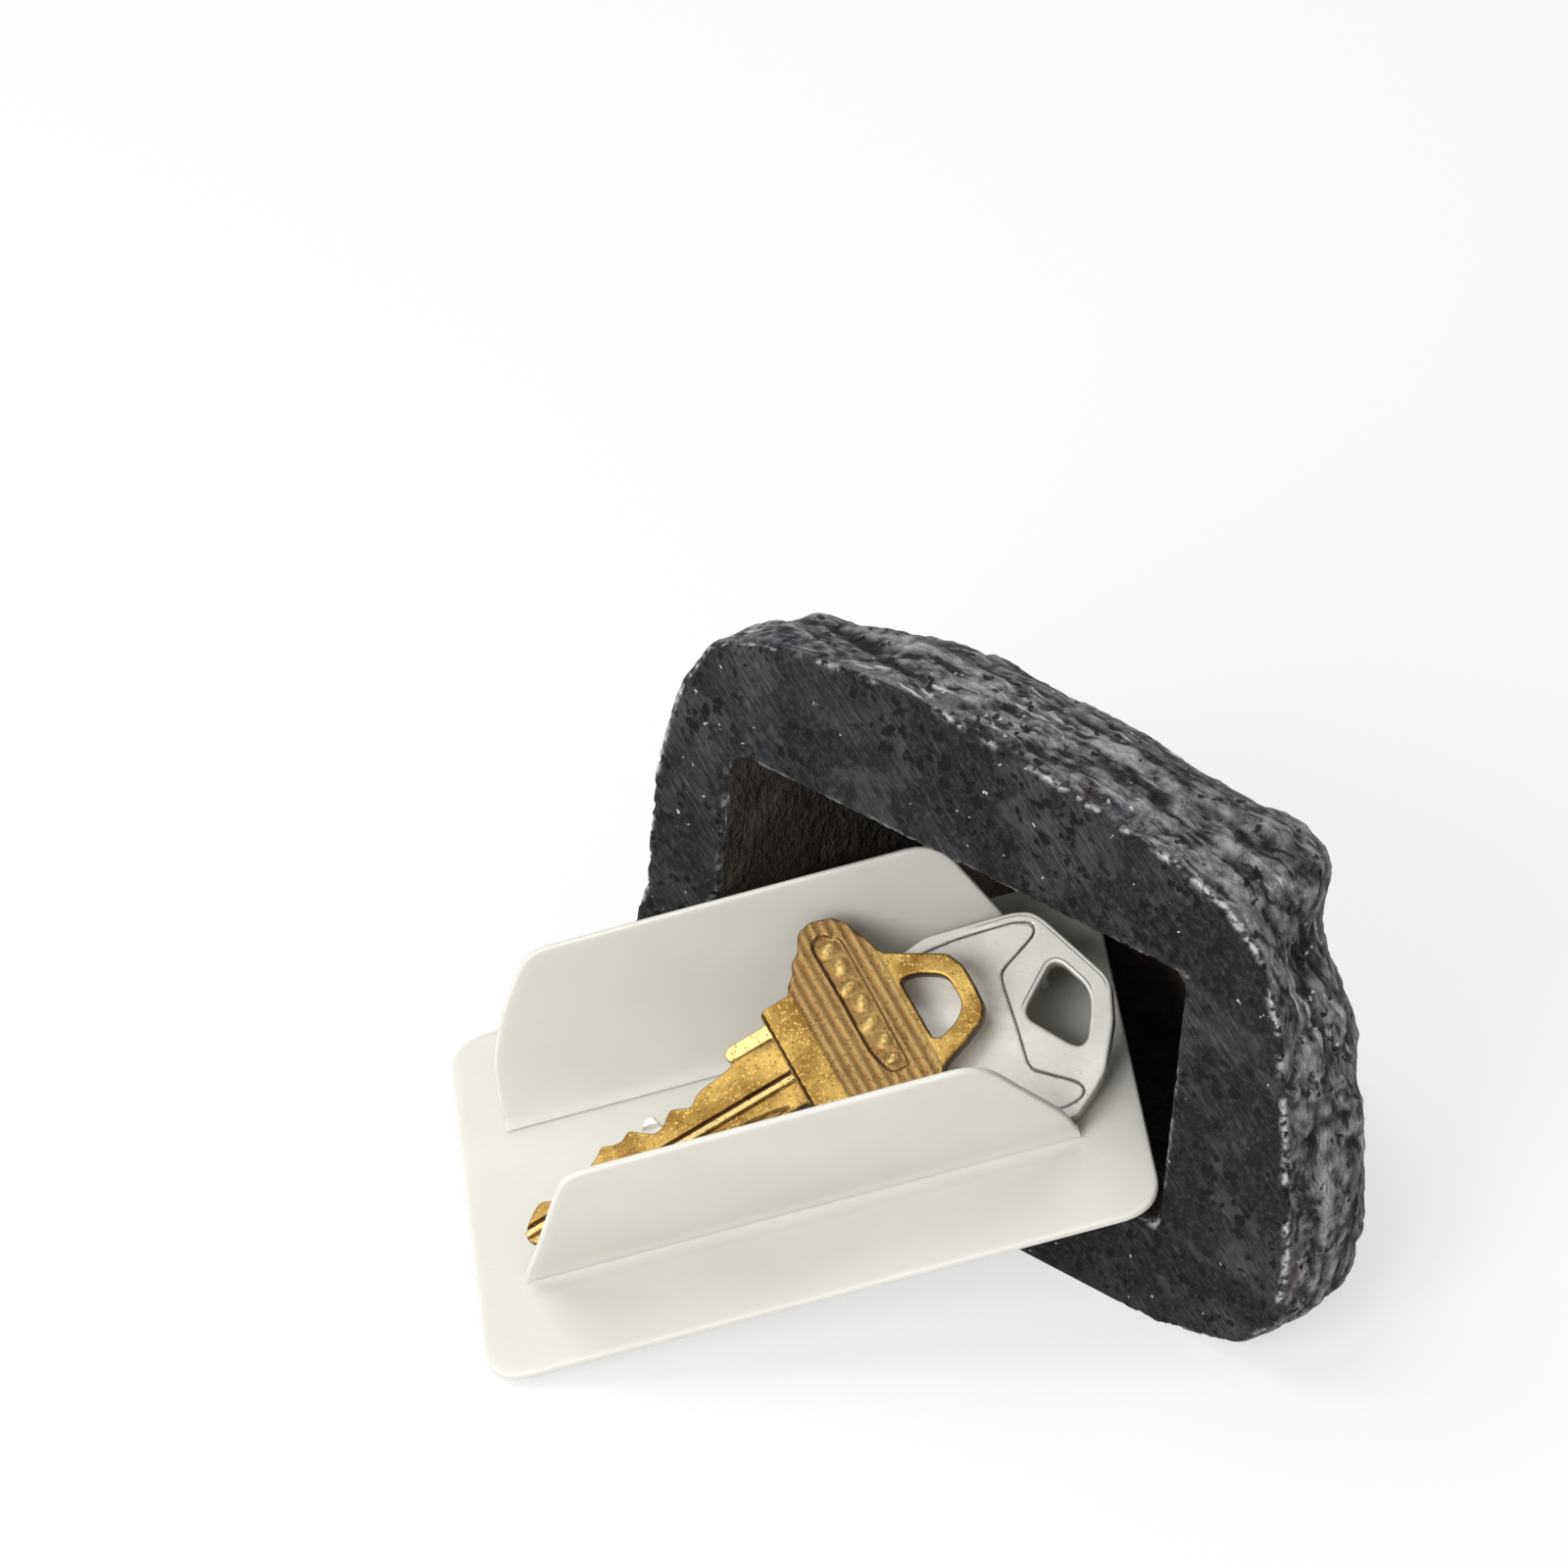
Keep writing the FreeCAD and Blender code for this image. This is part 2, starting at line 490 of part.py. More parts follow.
polygon(panel, [(8.9, half - 3.0), (9.8, half - 2.0), (11.2, half - 2.2), (12.2, half - 3.6),
                (12.2, -half + 3.6), (11.2, -half + 2.2), (9.8, -half + 2.0), (8.9, -half + 3.0)])
pocket(brass, panel, "brass_panel_cut", "Dims.brass_panel_deep")
for number, at in enumerate((5.6, 7.0, 13.6)):
    rib = new_sketch(brass, "brass_rib_%d" % number, lift="Dims.brass_thick")
    polygon(rib, [(at, -half - 1), (at, half + 1), (at + 0.5, half + 1), (at + 0.5, -half - 1)])
    pocket(brass, rib, "brass_rib_cut_%d" % number, "Dims.brass_rib_deep")
groove = new_sketch(brass, "brass_groove", lift="Dims.brass_thick - Dims.brass_collar_deep")
polygon(groove, [(-reach - 1, -1.6), (-0.6, -0.5), (-0.6, -1.4), (-reach - 1, -2.5)])
pocket(brass, groove, "brass_groove_cut", "Dims.brass_groove_deep")
brass_seat = Place(Vec(0, dim("brass_v"), dim("brass_w")), Rot(Vec(1, 0, 0), dim("brass_lean")))
brass_lay = Place(Vec(dim("brass_u"), dim("brass_q"), 0), Rot(Vec(0, 0, 1), dim("brass_turn")))
brass_tip = Place(Vec(0, 0, 0), Rot(Vec(0, 1, 0), -dim("brass_dip")))
brass.Placement = insert_place * brass_seat * brass_lay * brass_tip

# -------------------------------------------------------------- check and save
doc.recompute()
for thing in doc.Objects:
    if "Invalid" in thing.State or "Error" in thing.State:
        raise ValueError("%s %s" % (thing.Name, thing.State))
for body in (rock, plate, far_wing, near_wing, silver, brass):
    solid = body.Shape
    if len(solid.Solids) != 1 or not solid.isValid():
        raise ValueError(body.Label + " is not one valid solid")
    box = solid.BoundBox
    print(body.Label, "volume", round(solid.Volume, 1), "box", [round(v, 2) for v in (
        box.XMin, box.XMax, box.YMin, box.YMax, box.ZMin, box.ZMax)])
    solid.exportStep("parts/%s.step" % body.Label)
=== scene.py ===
import math
from functools import partial
from types import SimpleNamespace
import bpy
import numpy as np
from mathutils import Matrix, Vector, noise
from mathutils.geometry import delaunay_2d_cdt


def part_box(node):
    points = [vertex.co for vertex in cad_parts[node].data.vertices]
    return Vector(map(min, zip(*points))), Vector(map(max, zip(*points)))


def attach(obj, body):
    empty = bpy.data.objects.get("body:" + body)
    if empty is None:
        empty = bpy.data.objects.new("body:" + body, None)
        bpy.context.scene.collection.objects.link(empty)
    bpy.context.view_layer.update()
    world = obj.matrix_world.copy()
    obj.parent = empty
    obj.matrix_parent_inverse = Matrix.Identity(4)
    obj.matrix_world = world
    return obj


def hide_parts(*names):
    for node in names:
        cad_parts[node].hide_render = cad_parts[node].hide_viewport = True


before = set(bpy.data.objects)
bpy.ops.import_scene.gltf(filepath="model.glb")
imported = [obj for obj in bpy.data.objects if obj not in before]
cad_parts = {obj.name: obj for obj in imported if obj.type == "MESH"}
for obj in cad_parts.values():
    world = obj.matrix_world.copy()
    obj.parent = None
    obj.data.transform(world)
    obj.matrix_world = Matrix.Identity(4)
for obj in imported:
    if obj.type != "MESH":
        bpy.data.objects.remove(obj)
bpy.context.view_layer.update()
scene = bpy.context.scene
perMetre = 1000.0  # the frame is in metres, sizes here are in millimetres unless a name says otherwise
print("stage: frame loaded,", len(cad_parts), "nodes")


# small helpers used by every piece

def tone(red, green, blue):
    # a colour as a paint chart gives it, 0 to 255
    parts = [c / 255.0 for c in (red, green, blue)]
    return tuple([c / 12.92 if c <= 0.04045 else ((c + 0.055) / 1.055) ** 2.4 for c in parts] + [1.0])


def paints(look):
    return SimpleNamespace(**{name: tone(*parts) for name, parts in look["tones"].items()})


def feed(tree, node, values):
    # a socket is linked, a plain value is set
    for key, value in values.items():
        if isinstance(value, bpy.types.NodeSocket):
            tree.links.new(value, node.inputs[key])
        else:
            node.inputs[key].default_value = value


def place(tree, kind, inputs=None, **settings):
    # a new node's outputs
    made = tree.nodes.new("ShaderNode" + kind)
    for key, value in settings.items():
        setattr(made, key, value)
    feed(tree, made, inputs or {})
    return made.outputs


def wire(tree, kind, inputs=None, **settings):
    return place(tree, kind, inputs, **settings)[0]


def blend(tree, factor, first, second):
    return place(tree, "Mix", {0: factor, 6: first, 7: second}, data_type="RGBA")[2]


def sums(tree, operation, first, second):
    return wire(tree, "Math", {0: first, 1: second}, operation=operation)


def times(tree, first, second):
    return sums(tree, "MULTIPLY", first, second)


def coats(tree, colour, *layers):
    # lays paints over a colour; each has a mask, a strength and a tone
    for mask, strength, paint in layers:
        colour = blend(tree, times(tree, mask, strength), colour, paint)
    return colour


def weighed(tree, start, *parts):
    # adds masks to a starting value, each with its own weight
    for mask, weight in parts:
        start = wire(tree, "Math", {0: mask, 1: weight, 2: start}, operation="MULTIPLY_ADD")
    return start


def bumpOf(tree, strength, distance, height):
    return wire(tree, "Bump", {"Strength": strength, "Distance": distance, "Height": height})


def spread(tree, value, low, high):
    # 0 at low and 1 at high, with an eased run between them
    return wire(tree, "MapRange", {0: value, 1: low, 2: high, 3: 0.0, 4: 1.0},
                interpolation_type="SMOOTHSTEP")


def newGroup(name, inputs):
    # a group with number inputs, their starting values, and one output, Mask; given holds what comes in
    group = bpy.data.node_groups.new(name, "ShaderNodeTree")
    for socketName, start in inputs.items():
        made = group.interface.new_socket(socketName, in_out="INPUT", socket_type="NodeSocketFloat")
        made.default_value = start
    group.interface.new_socket("Mask", in_out="OUTPUT", socket_type="NodeSocketFloat")
    given = group.nodes.new("NodeGroupInput").outputs
    return group, given, group.nodes.new("NodeGroupOutput")


def pattern(group, tree, **values):
    return wire(tree, "Group", values, node_tree=group)


def maskOf(tree, name):
    # a mask that the mesh carries
    return place(tree, "Attribute", attribute_name=name)["Fac"]


def newMaterial(name):
    material = bpy.data.materials.new(name)
    material.use_nodes = True
    tree = material.node_tree
    return material, tree, tree.nodes["Principled BSDF"]


def added(name, data):
    thing = bpy.data.objects.new(name, data)
    scene.collection.objects.link(thing)
    return thing


def setMasks(mesh, masks):
    for name, values in masks.items():
        layer = mesh.attributes.new(name, "FLOAT", "POINT")
        layer.data.foreach_set("value", np.clip(values, 0.0, 1.0).astype(np.float32))


def numbersOf(items, name, width, kind=np.float32):
    flat = np.empty(len(items) * width, kind)
    items.foreach_get(name, flat)
    return flat.reshape(-1, width)


def push(mesh, points):
    mesh.vertices.foreach_set("co", points.astype(np.float32).ravel())
    mesh.update()


def relax(values, edges, share, rounds):
    # evens out values between neighbours; share is how far each point may go
    count = np.bincount(edges.ravel(), minlength=len(values)).astype(float)
    for _ in range(rounds):
        total = np.stack([
            np.bincount(edges[:, 0], weights=values[edges[:, 1], k], minlength=len(values))
            + np.bincount(edges[:, 1], weights=values[edges[:, 0], k], minlength=len(values))
            for k in range(values.shape[1])], axis=1)
        values = values + (total / count[:, None] - values) * share[:, None]
    return values


def outlineGap(points, corners):
    # distance from an outline, negative inside it
    corners = np.asarray(corners, float)
    best = np.full(len(points), np.inf)
    inside = np.zeros(len(points), bool)
    for a, b in zip(corners, np.roll(corners, -1, axis=0)):
        run = b - a
        t = np.clip(((points - a) @ run) / (run @ run), 0.0, 1.0)
        best = np.minimum(best, np.linalg.norm(points - (a + t[:, None] * run), axis=1))
        crosses = ((a[1] > points[:, 1]) != (b[1] > points[:, 1]))
        with np.errstate(divide="ignore", invalid="ignore"):
            x = a[0] + (points[:, 1] - a[1]) * run[0] / (run[1] if run[1] else 1e-12)
        inside ^= crosses & (points[:, 0] < x)
    return np.where(inside, -best, best)


def step(x, low, high):
    t = np.clip((x - low) / (high - low), 0.0, 1.0)
    return t * t * (3.0 - 2.0 * t)


def band(values, centre, edge):
    # 1 along a line at centre; edge is how far off it the line begins to fade and where it ends
    return 1.0 - step(np.abs(values - centre), *edge)


def noiseAt(points, size, octaves, kind, shift):
    # one value a point; soft or creased noise, size is the width of a lump in millimetres
    finer, softFade, creaseFade, creaseOffset, creaseGain = 2.1, 0.9, 1.0, 1.0, 1.8
    seed = Vector((shift, shift * 1.7, -shift * 0.6))
    spots = [Vector(p) / size + seed for p in points]
    if kind == "soft":
        return np.array([noise.fractal(spot, softFade, finer, octaves) for spot in spots])
    return np.array([noise.ridged_multi_fractal(spot, creaseFade, finer, octaves, creaseOffset, creaseGain)
                     for spot in spots])


# effects that several finishes share

def vector(tree, operation, first, second):
    return wire(tree, "VectorMath", {0: first, 1: second}, operation=operation)


def scaled(tree, first, factor):
    return wire(tree, "VectorMath", {0: first, "Scale": factor}, operation="SCALE")


def shifted(group, given):
    # the point on the piece, moved by Shift so that no two patterns match
    where = place(group, "TexCoord")["Object"]
    return vector(group, "ADD", where, given["Shift"])


def mottleGroup():
    # clouds; Size is their width in metres
    group, given, sink = newGroup("mottle", {
        "Size": 0.01, "Detail": 3.0, "Low": 0.4, "High": 0.6, "Warp": 0.0, "Shift": 0.0})
    field = wire(group, "TexNoise", {
        "Vector": shifted(group, given), "Scale": sums(group, "DIVIDE", 1.0, given["Size"]),
        "Detail": given["Detail"], "Distortion": given["Warp"]})
    feed(group, sink, {"Mask": spread(group, field, given["Low"], given["High"])})
    return group


def speckGroup():
    # scattered spots; Size is their spacing, Radius a part of it, and Share is how many are kept
    raggedness, bend, core = 2.2, 0.9, 0.55
    group, given, sink = newGroup("speck", {"Size": 0.002, "Radius": 0.3, "Share": 0.5, "Shift": 0.0})
    moved = shifted(group, given)
    ragged = place(group, "TexNoise", {
        "Vector": moved, "Scale": sums(group, "DIVIDE", raggedness, given["Size"]), "Detail": 1.0})
    bent = vector(group, "ADD", ragged["Color"], (-0.5, -0.5, -0.5))
    spot = vector(group, "ADD", moved, scaled(group, bent, times(group, given["Size"], bend)))
    cells = place(group, "TexVoronoi", {"Vector": spot, "Scale": sums(group, "DIVIDE", 1.0, given["Size"])})
    near = spread(group, cells["Distance"], given["Radius"], times(group, given["Radius"], core))
    pick = wire(group, "SeparateColor", {0: cells["Color"]})
    kept = sums(group, "LESS_THAN", pick, given["Share"])
    feed(group, sink, {"Mask": times(group, near, kept)})
    return group


def streakGroup():
    # long scratches, or layers where Broad widens them; Turn is about the piece's y axis, Tilt about its z
    swayScale, swayDetail, detail = 110.0, 3.0, 2.0
    group, given, sink = newGroup("streak", {
        "Size": 0.0005, "Stretch": 20.0, "Turn": 0.0, "Tilt": 0.0, "Low": 0.45, "High": 0.65, "Shift": 0.0,
        "Broad": 1.0, "Bend": 0.0})
    moved = shifted(group, given)
    sway = place(group, "TexNoise", {"Vector": moved, "Scale": swayScale, "Detail": swayDetail})
    moved = vector(group, "ADD", moved, scaled(group, sway["Color"], given["Bend"]))
    turn = wire(group, "CombineXYZ", {1: given["Turn"], 2: given["Tilt"]})
    turned = wire(group, "VectorRotate", {"Vector": moved, "Rotation": turn}, rotation_type="EULER_XYZ")
    squeeze = wire(group, "CombineXYZ", {
        0: sums(group, "DIVIDE", 1.0, given["Stretch"]), 1: 1.0,
        2: sums(group, "DIVIDE", 1.0, given["Broad"])})
    field = wire(group, "TexNoise", {
        "Vector": vector(group, "MULTIPLY", turned, squeeze),
        "Scale": sums(group, "DIVIDE", 1.0, given["Size"]), "Detail": detail})
    feed(group, sink, {"Mask": spread(group, field, given["Low"], given["High"])})
    return group


mottled, specked, streaked = [partial(pattern, made()) for made in (mottleGroup, speckGroup, streakGroup)]


# the cast rock

rockLook = {
    "faceSizeMetres": 0.0004,
    "place": (2.391, 1.836, 0.0), "lean": 4.5,
    "rim": [(-43.6, 12.0), (-40.8, 24.5), (-40.2, 40.5), (-38.0, 54.0), (-35.0, 61.6), (-27.5, 65.3),
            (-8.5, 68.0), (8.5, 66.0), (27.0, 62.6), (33.8, 60.1), (38.7, 56.1), (42.2, 47.5), (44.6, 33.5),
            (46.6, 18.0), (46.4, 7.5), (42.0, 1.6), (25.0, -1.0), (0.0, -1.5), (-22.0, -0.5), (-38.5, 2.6)],
    "mouth": [(-30.2, 48.7), (30.2, 48.7), (30.2, 13.4), (-40.2, 7.0), (-30.8, 29.0)],
    "mouthAim": (3.4, 7.5), "mouthShrink": 0.70, "hollowDeep": 33.0,
    # the cut base is this deep; the hollow reaches this far into its walls and past its floor
    "cutDeep": 0.5, "hollowWall": 0.75, "hollowPast": 0.6,
    # each pair is where an effect starts and where it is full, measured from the rim or from the floor
    "evenRounds": 16, "evenShare": 0.9, "evenRim": (0.4, 4.0), "evenFloor": (0.3, 2.5),
    "carveRim": (0.3, 5.0), "carveFloor": (0.2, 3.0), "fineRim": (0.2, 2.0), "fineFloor": (0.1, 1.2),
    "dentRim": (0.3, 3.0), "carveLimits": (-2.5, 4.0),
    "strataStretch": (0.38, 0.5, 1.3), "strataTilt": (0.16, 0.1), "creaseTop": 2.6,
    "lumpSize": 12.0, "lumpDeep": 0.9,
    "ledgeSize": 8.0, "ledgeDeep": 1.7,
    "grainSize": 1.5, "grainDeep": 0.26, "grainStretch": (0.7, 0.8, 1.0), "grainInHollow": 0.12,
    "crackSize": 6.0, "crackDeep": 0.8, "crackFrom": (0.7, 0.95),
    "crumbSize": 1.1, "crumbDeep": 0.42, "crumbFrom": (0.42, 0.8),
    "rimBand": 0.6, "lipBand": 0.5, "lipShare": 0.8,
    "boxEase": 1.2,
    # corners of the base that are worn round: where on the base and how wide
    "roundCorners": [(-36.0, 60.0, 7.0), (44.5, 3.5, 6.5), (-28.0, 65.0, 4.0)],
    "cornerRounds": 70, "cornerShare": 0.95,
    # worn hollows: where, how wide and how deep; a minus stands proud
    "dents": [(33.5, 60.5, 13.0, 4.6, -2.2), (41.5, 53.0, 9.0, 3.4, 1.9), (45.5, 46.0, 12.0, 4.5, -1.2),
              (12.0, 66.0, 6.0, 6.0, 0.5), (49.0, 30.0, 10.0, 5.0, -0.7)],
    # colour masks: the crown begins at this height, its border bent by the lumps; the shade values set the
    # painted shade in the crevices and the painted highlight on the ridges
    "crownFrom": (15.0, 26.0), "crownBend": 6.0, "shadeRounds": 14, "shadeDeep": 0.2,
    "brokenSize": 2.6, "paleRim": 0.42, "paleRimFrom": (0.4, 0.62),
    "paleLip": 0.34, "paleLipFrom": (0.42, 0.66), "paleLipShare": 0.85,
    "tones": {
        "skinDark": (34, 34, 37), "skinPale": (100, 101, 103), "dust": (138, 139, 140),
        "layers": (204, 205, 205), "black": (16, 16, 18), "redStain": (92, 78, 82),
        "blueStain": (38, 44, 60), "charcoalDark": (28, 28, 31), "charcoalPale": (72, 71, 73),
        "navy": (33, 40, 64), "creamDark": (112, 109, 98), "creamPale": (208, 205, 194),
        # basePale, baseCloud, scratchPale and baseGrain are kept dark, partly as painted shade on the cut
        # base
        "ridge": (196, 196, 196), "grit": (224, 224, 222), "holes": (12, 12, 13), "basePale": (40, 41, 43),
        "baseCloud": (66, 67, 70), "scratchPale": (90, 91, 94), "baseGrain": (84, 84, 86),
        "airHole": (5, 5, 6), "fleck": (196, 196, 195), "hollowDark": (60, 53, 47),
        "hollowPale": (82, 73, 65), "crumble": (206, 207, 206),
    },
}


def rockFrame(points):
    # x along the rock, y up its base, z from the base to the crown, in millimetres
    lean = math.radians(rockLook["lean"])
    p = points * perMetre - np.array(rockLook["place"])
    up = np.array((0.0, math.sin(lean), math.cos(lean)))
    back = np.array((0.0, math.cos(lean), -math.sin(lean)))
    return np.stack([p[:, 0], p @ up, p @ back], axis=1)


def easedUnder(values, limit, ease):
    # values slow down near a limit and never pass it
    over = values - (limit - ease)
    return np.where(over > 0, limit - ease * np.exp(-np.maximum(over, 0) / ease), values)


def evenMesh():
    # the casting's own solid with even faces
    rough = added("rockRough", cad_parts["rock_body"].data.copy())
    even = rough.modifiers.new("even", "REMESH")
    even.mode = "VOXEL"
    even.voxel_size = rockLook["faceSizeMetres"]
    mesh = bpy.data.meshes.new_from_object(rough.evaluated_get(bpy.context.evaluated_depsgraph_get()))
    bpy.data.objects.remove(rough)
    return mesh


def makeRock():
    look = SimpleNamespace(**rockLook)
    mesh = evenMesh()
    points = numbersOf(mesh.vertices, "co", 3).astype(float)
    edges = numbersOf(mesh.edges, "vertices", 2, np.int32)
    own = rockFrame(points)
    flat, depth = own[:, :2], own[:, 2]

    # which part of the casting each point lies on
    rimGap = outlineGap(flat, look.rim)
    tight = 1.0 - (1.0 - look.mouthShrink) * np.clip(depth, 0.0, look.hollowDeep) / look.hollowDeep
    aim = np.array(look.mouthAim)
    mouthGap = outlineGap((flat - aim) / tight[:, None] + aim, look.mouth) * tight
    onBase = depth < look.cutDeep
    inDepth = (depth > look.cutDeep) & (depth < look.hollowDeep + look.hollowPast)
    hollow = (mouthGap < look.hollowWall) & inDepth
    cut = onBase & ~hollow
    skin = (~hollow & ~cut).astype(float)
    rimNear = np.hypot(rimGap, depth)
    lipNear = np.hypot(mouthGap, depth)
    fromFloor = points[:, 2] * perMetre

    # soften the creases of the casting and its worn corners; the cut face and the resting side stay flat
    share = skin * step(rimNear, *look.evenRim) * step(fromFloor, *look.evenFloor)
    points = relax(points, edges, share * look.evenShare, look.evenRounds)
    own = rockFrame(points)
    worn = np.zeros(len(points))
    for x, y, wide in look.roundCorners:
        away = np.linalg.norm(own - np.array((x, y, 0.0)), axis=1) / wide
        worn = np.maximum(worn, np.exp(-away ** 2))
    points = relax(points, edges, worn * look.cornerShare, look.cornerRounds)
    push(mesh, points)
    own = rockFrame(points)
    out = numbersOf(mesh.vertex_normals, "vector", 3).astype(float)

    # layers lie along the base; ledges and cracks run with them
    strata = own * np.array(look.strataStretch)
    strata[:, 2] += look.strataTilt[0] * own[:, 0] + look.strataTilt[1] * own[:, 1]
    lump = np.clip(noiseAt(own, look.lumpSize, octaves=3, kind="soft", shift=3.1), -1.0, 1.0)
    ledge = noiseAt(strata, look.ledgeSize, octaves=4, kind="crease", shift=7.7) / look.creaseTop
    grain = noiseAt(own * np.array(look.grainStretch), look.grainSize, octaves=3, kind="soft", shift=11.3)
    crack = noiseAt(strata, look.crackSize, octaves=3, kind="crease", shift=23.0) / look.creaseTop
    ledge, crack = np.clip(ledge, 0.0, 1.0), np.clip(crack, 0.0, 1.0)
    crumb = noiseAt(own, look.crumbSize, octaves=3, kind="soft", shift=5.9) * 0.5 + 0.5
    fade = step(rimNear, *look.carveRim) * step(fromFloor, *look.carveFloor)
    carve = fade * (look.ledgeDeep * (ledge - np.median(ledge)) - look.lumpDeep * lump)
    carve += step(rimNear, *look.fineRim) * step(fromFloor, *look.fineFloor) * (
        look.crackDeep * step(crack, *look.crackFrom) - look.grainDeep * grain)
    for x, y, z, wide, down in look.dents:
        away = np.linalg.norm(own - np.array((x, y, z)), axis=1) / wide
        carve += down * np.exp(-away ** 2) * step(rimNear, *look.dentRim)
    bands = np.exp(-(rimNear / look.rimBand) ** 2) + look.lipShare * np.exp(-(lipNear / look.lipBand) ** 2)
    deep = skin * carve + bands * look.crumbDeep * step(crumb, *look.crumbFrom)
    deep += hollow * look.grainInHollow * np.clip(grain + 0.5, 0.0, 1.0)
    points = points - out * (np.clip(deep, *look.carveLimits) / perMetre)[:, None]

    # nothing grows out of the casting's own box
    ease = look.boxEase / perMetre
    low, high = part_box("rock_body")
    for k in range(3):
        points[:, k] = easedUnder(points[:, k], high[k], ease)
    points[:, 0] = -easedUnder(-points[:, 0], -low[0], ease)
    points[:, 1] = np.maximum(points[:, 1], low[1])
    points[:, 2] = np.maximum(points[:, 2], 0.0)
    push(mesh, points)

    # painted shade in the crevices and painted highlight on the ridges, from each point's carving against its
    # neighbours'
    around = relax(deep[:, None], edges, np.ones(len(deep)) * look.evenShare, look.shadeRounds)[:, 0]
    carved = (deep - around) / look.shadeDeep
    broken = noiseAt(own, look.brokenSize, octaves=3, kind="soft", shift=41.0) * 0.5 + 0.5
    line = np.exp(-(rimNear / look.paleRim) ** 2) * step(broken, *look.paleRimFrom)
    line += look.paleLipShare * np.exp(-(lipNear / look.paleLip) ** 2) * step(broken, *look.paleLipFrom)
    setMasks(mesh, {
        "cutFace": cut * 1.0,
        "hollow": hollow * 1.0,
        "crownSide": step(own[:, 2] + look.crownBend * lump, *look.crownFrom) * skin,
        "creviceShade": np.clip(carved, 0.0, 1.0) * skin,
        "ridge": np.clip(-carved, 0.0, 1.0) * skin,
        "crumble": line,
    })
    mesh.shade_smooth()
    mesh.materials.clear()
    mesh.materials.append(rockFinish())
    piece = added("castRock", mesh)
    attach(piece, "rock")
    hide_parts("rock_body")
    print("stage: rock,", len(mesh.polygons), "faces")


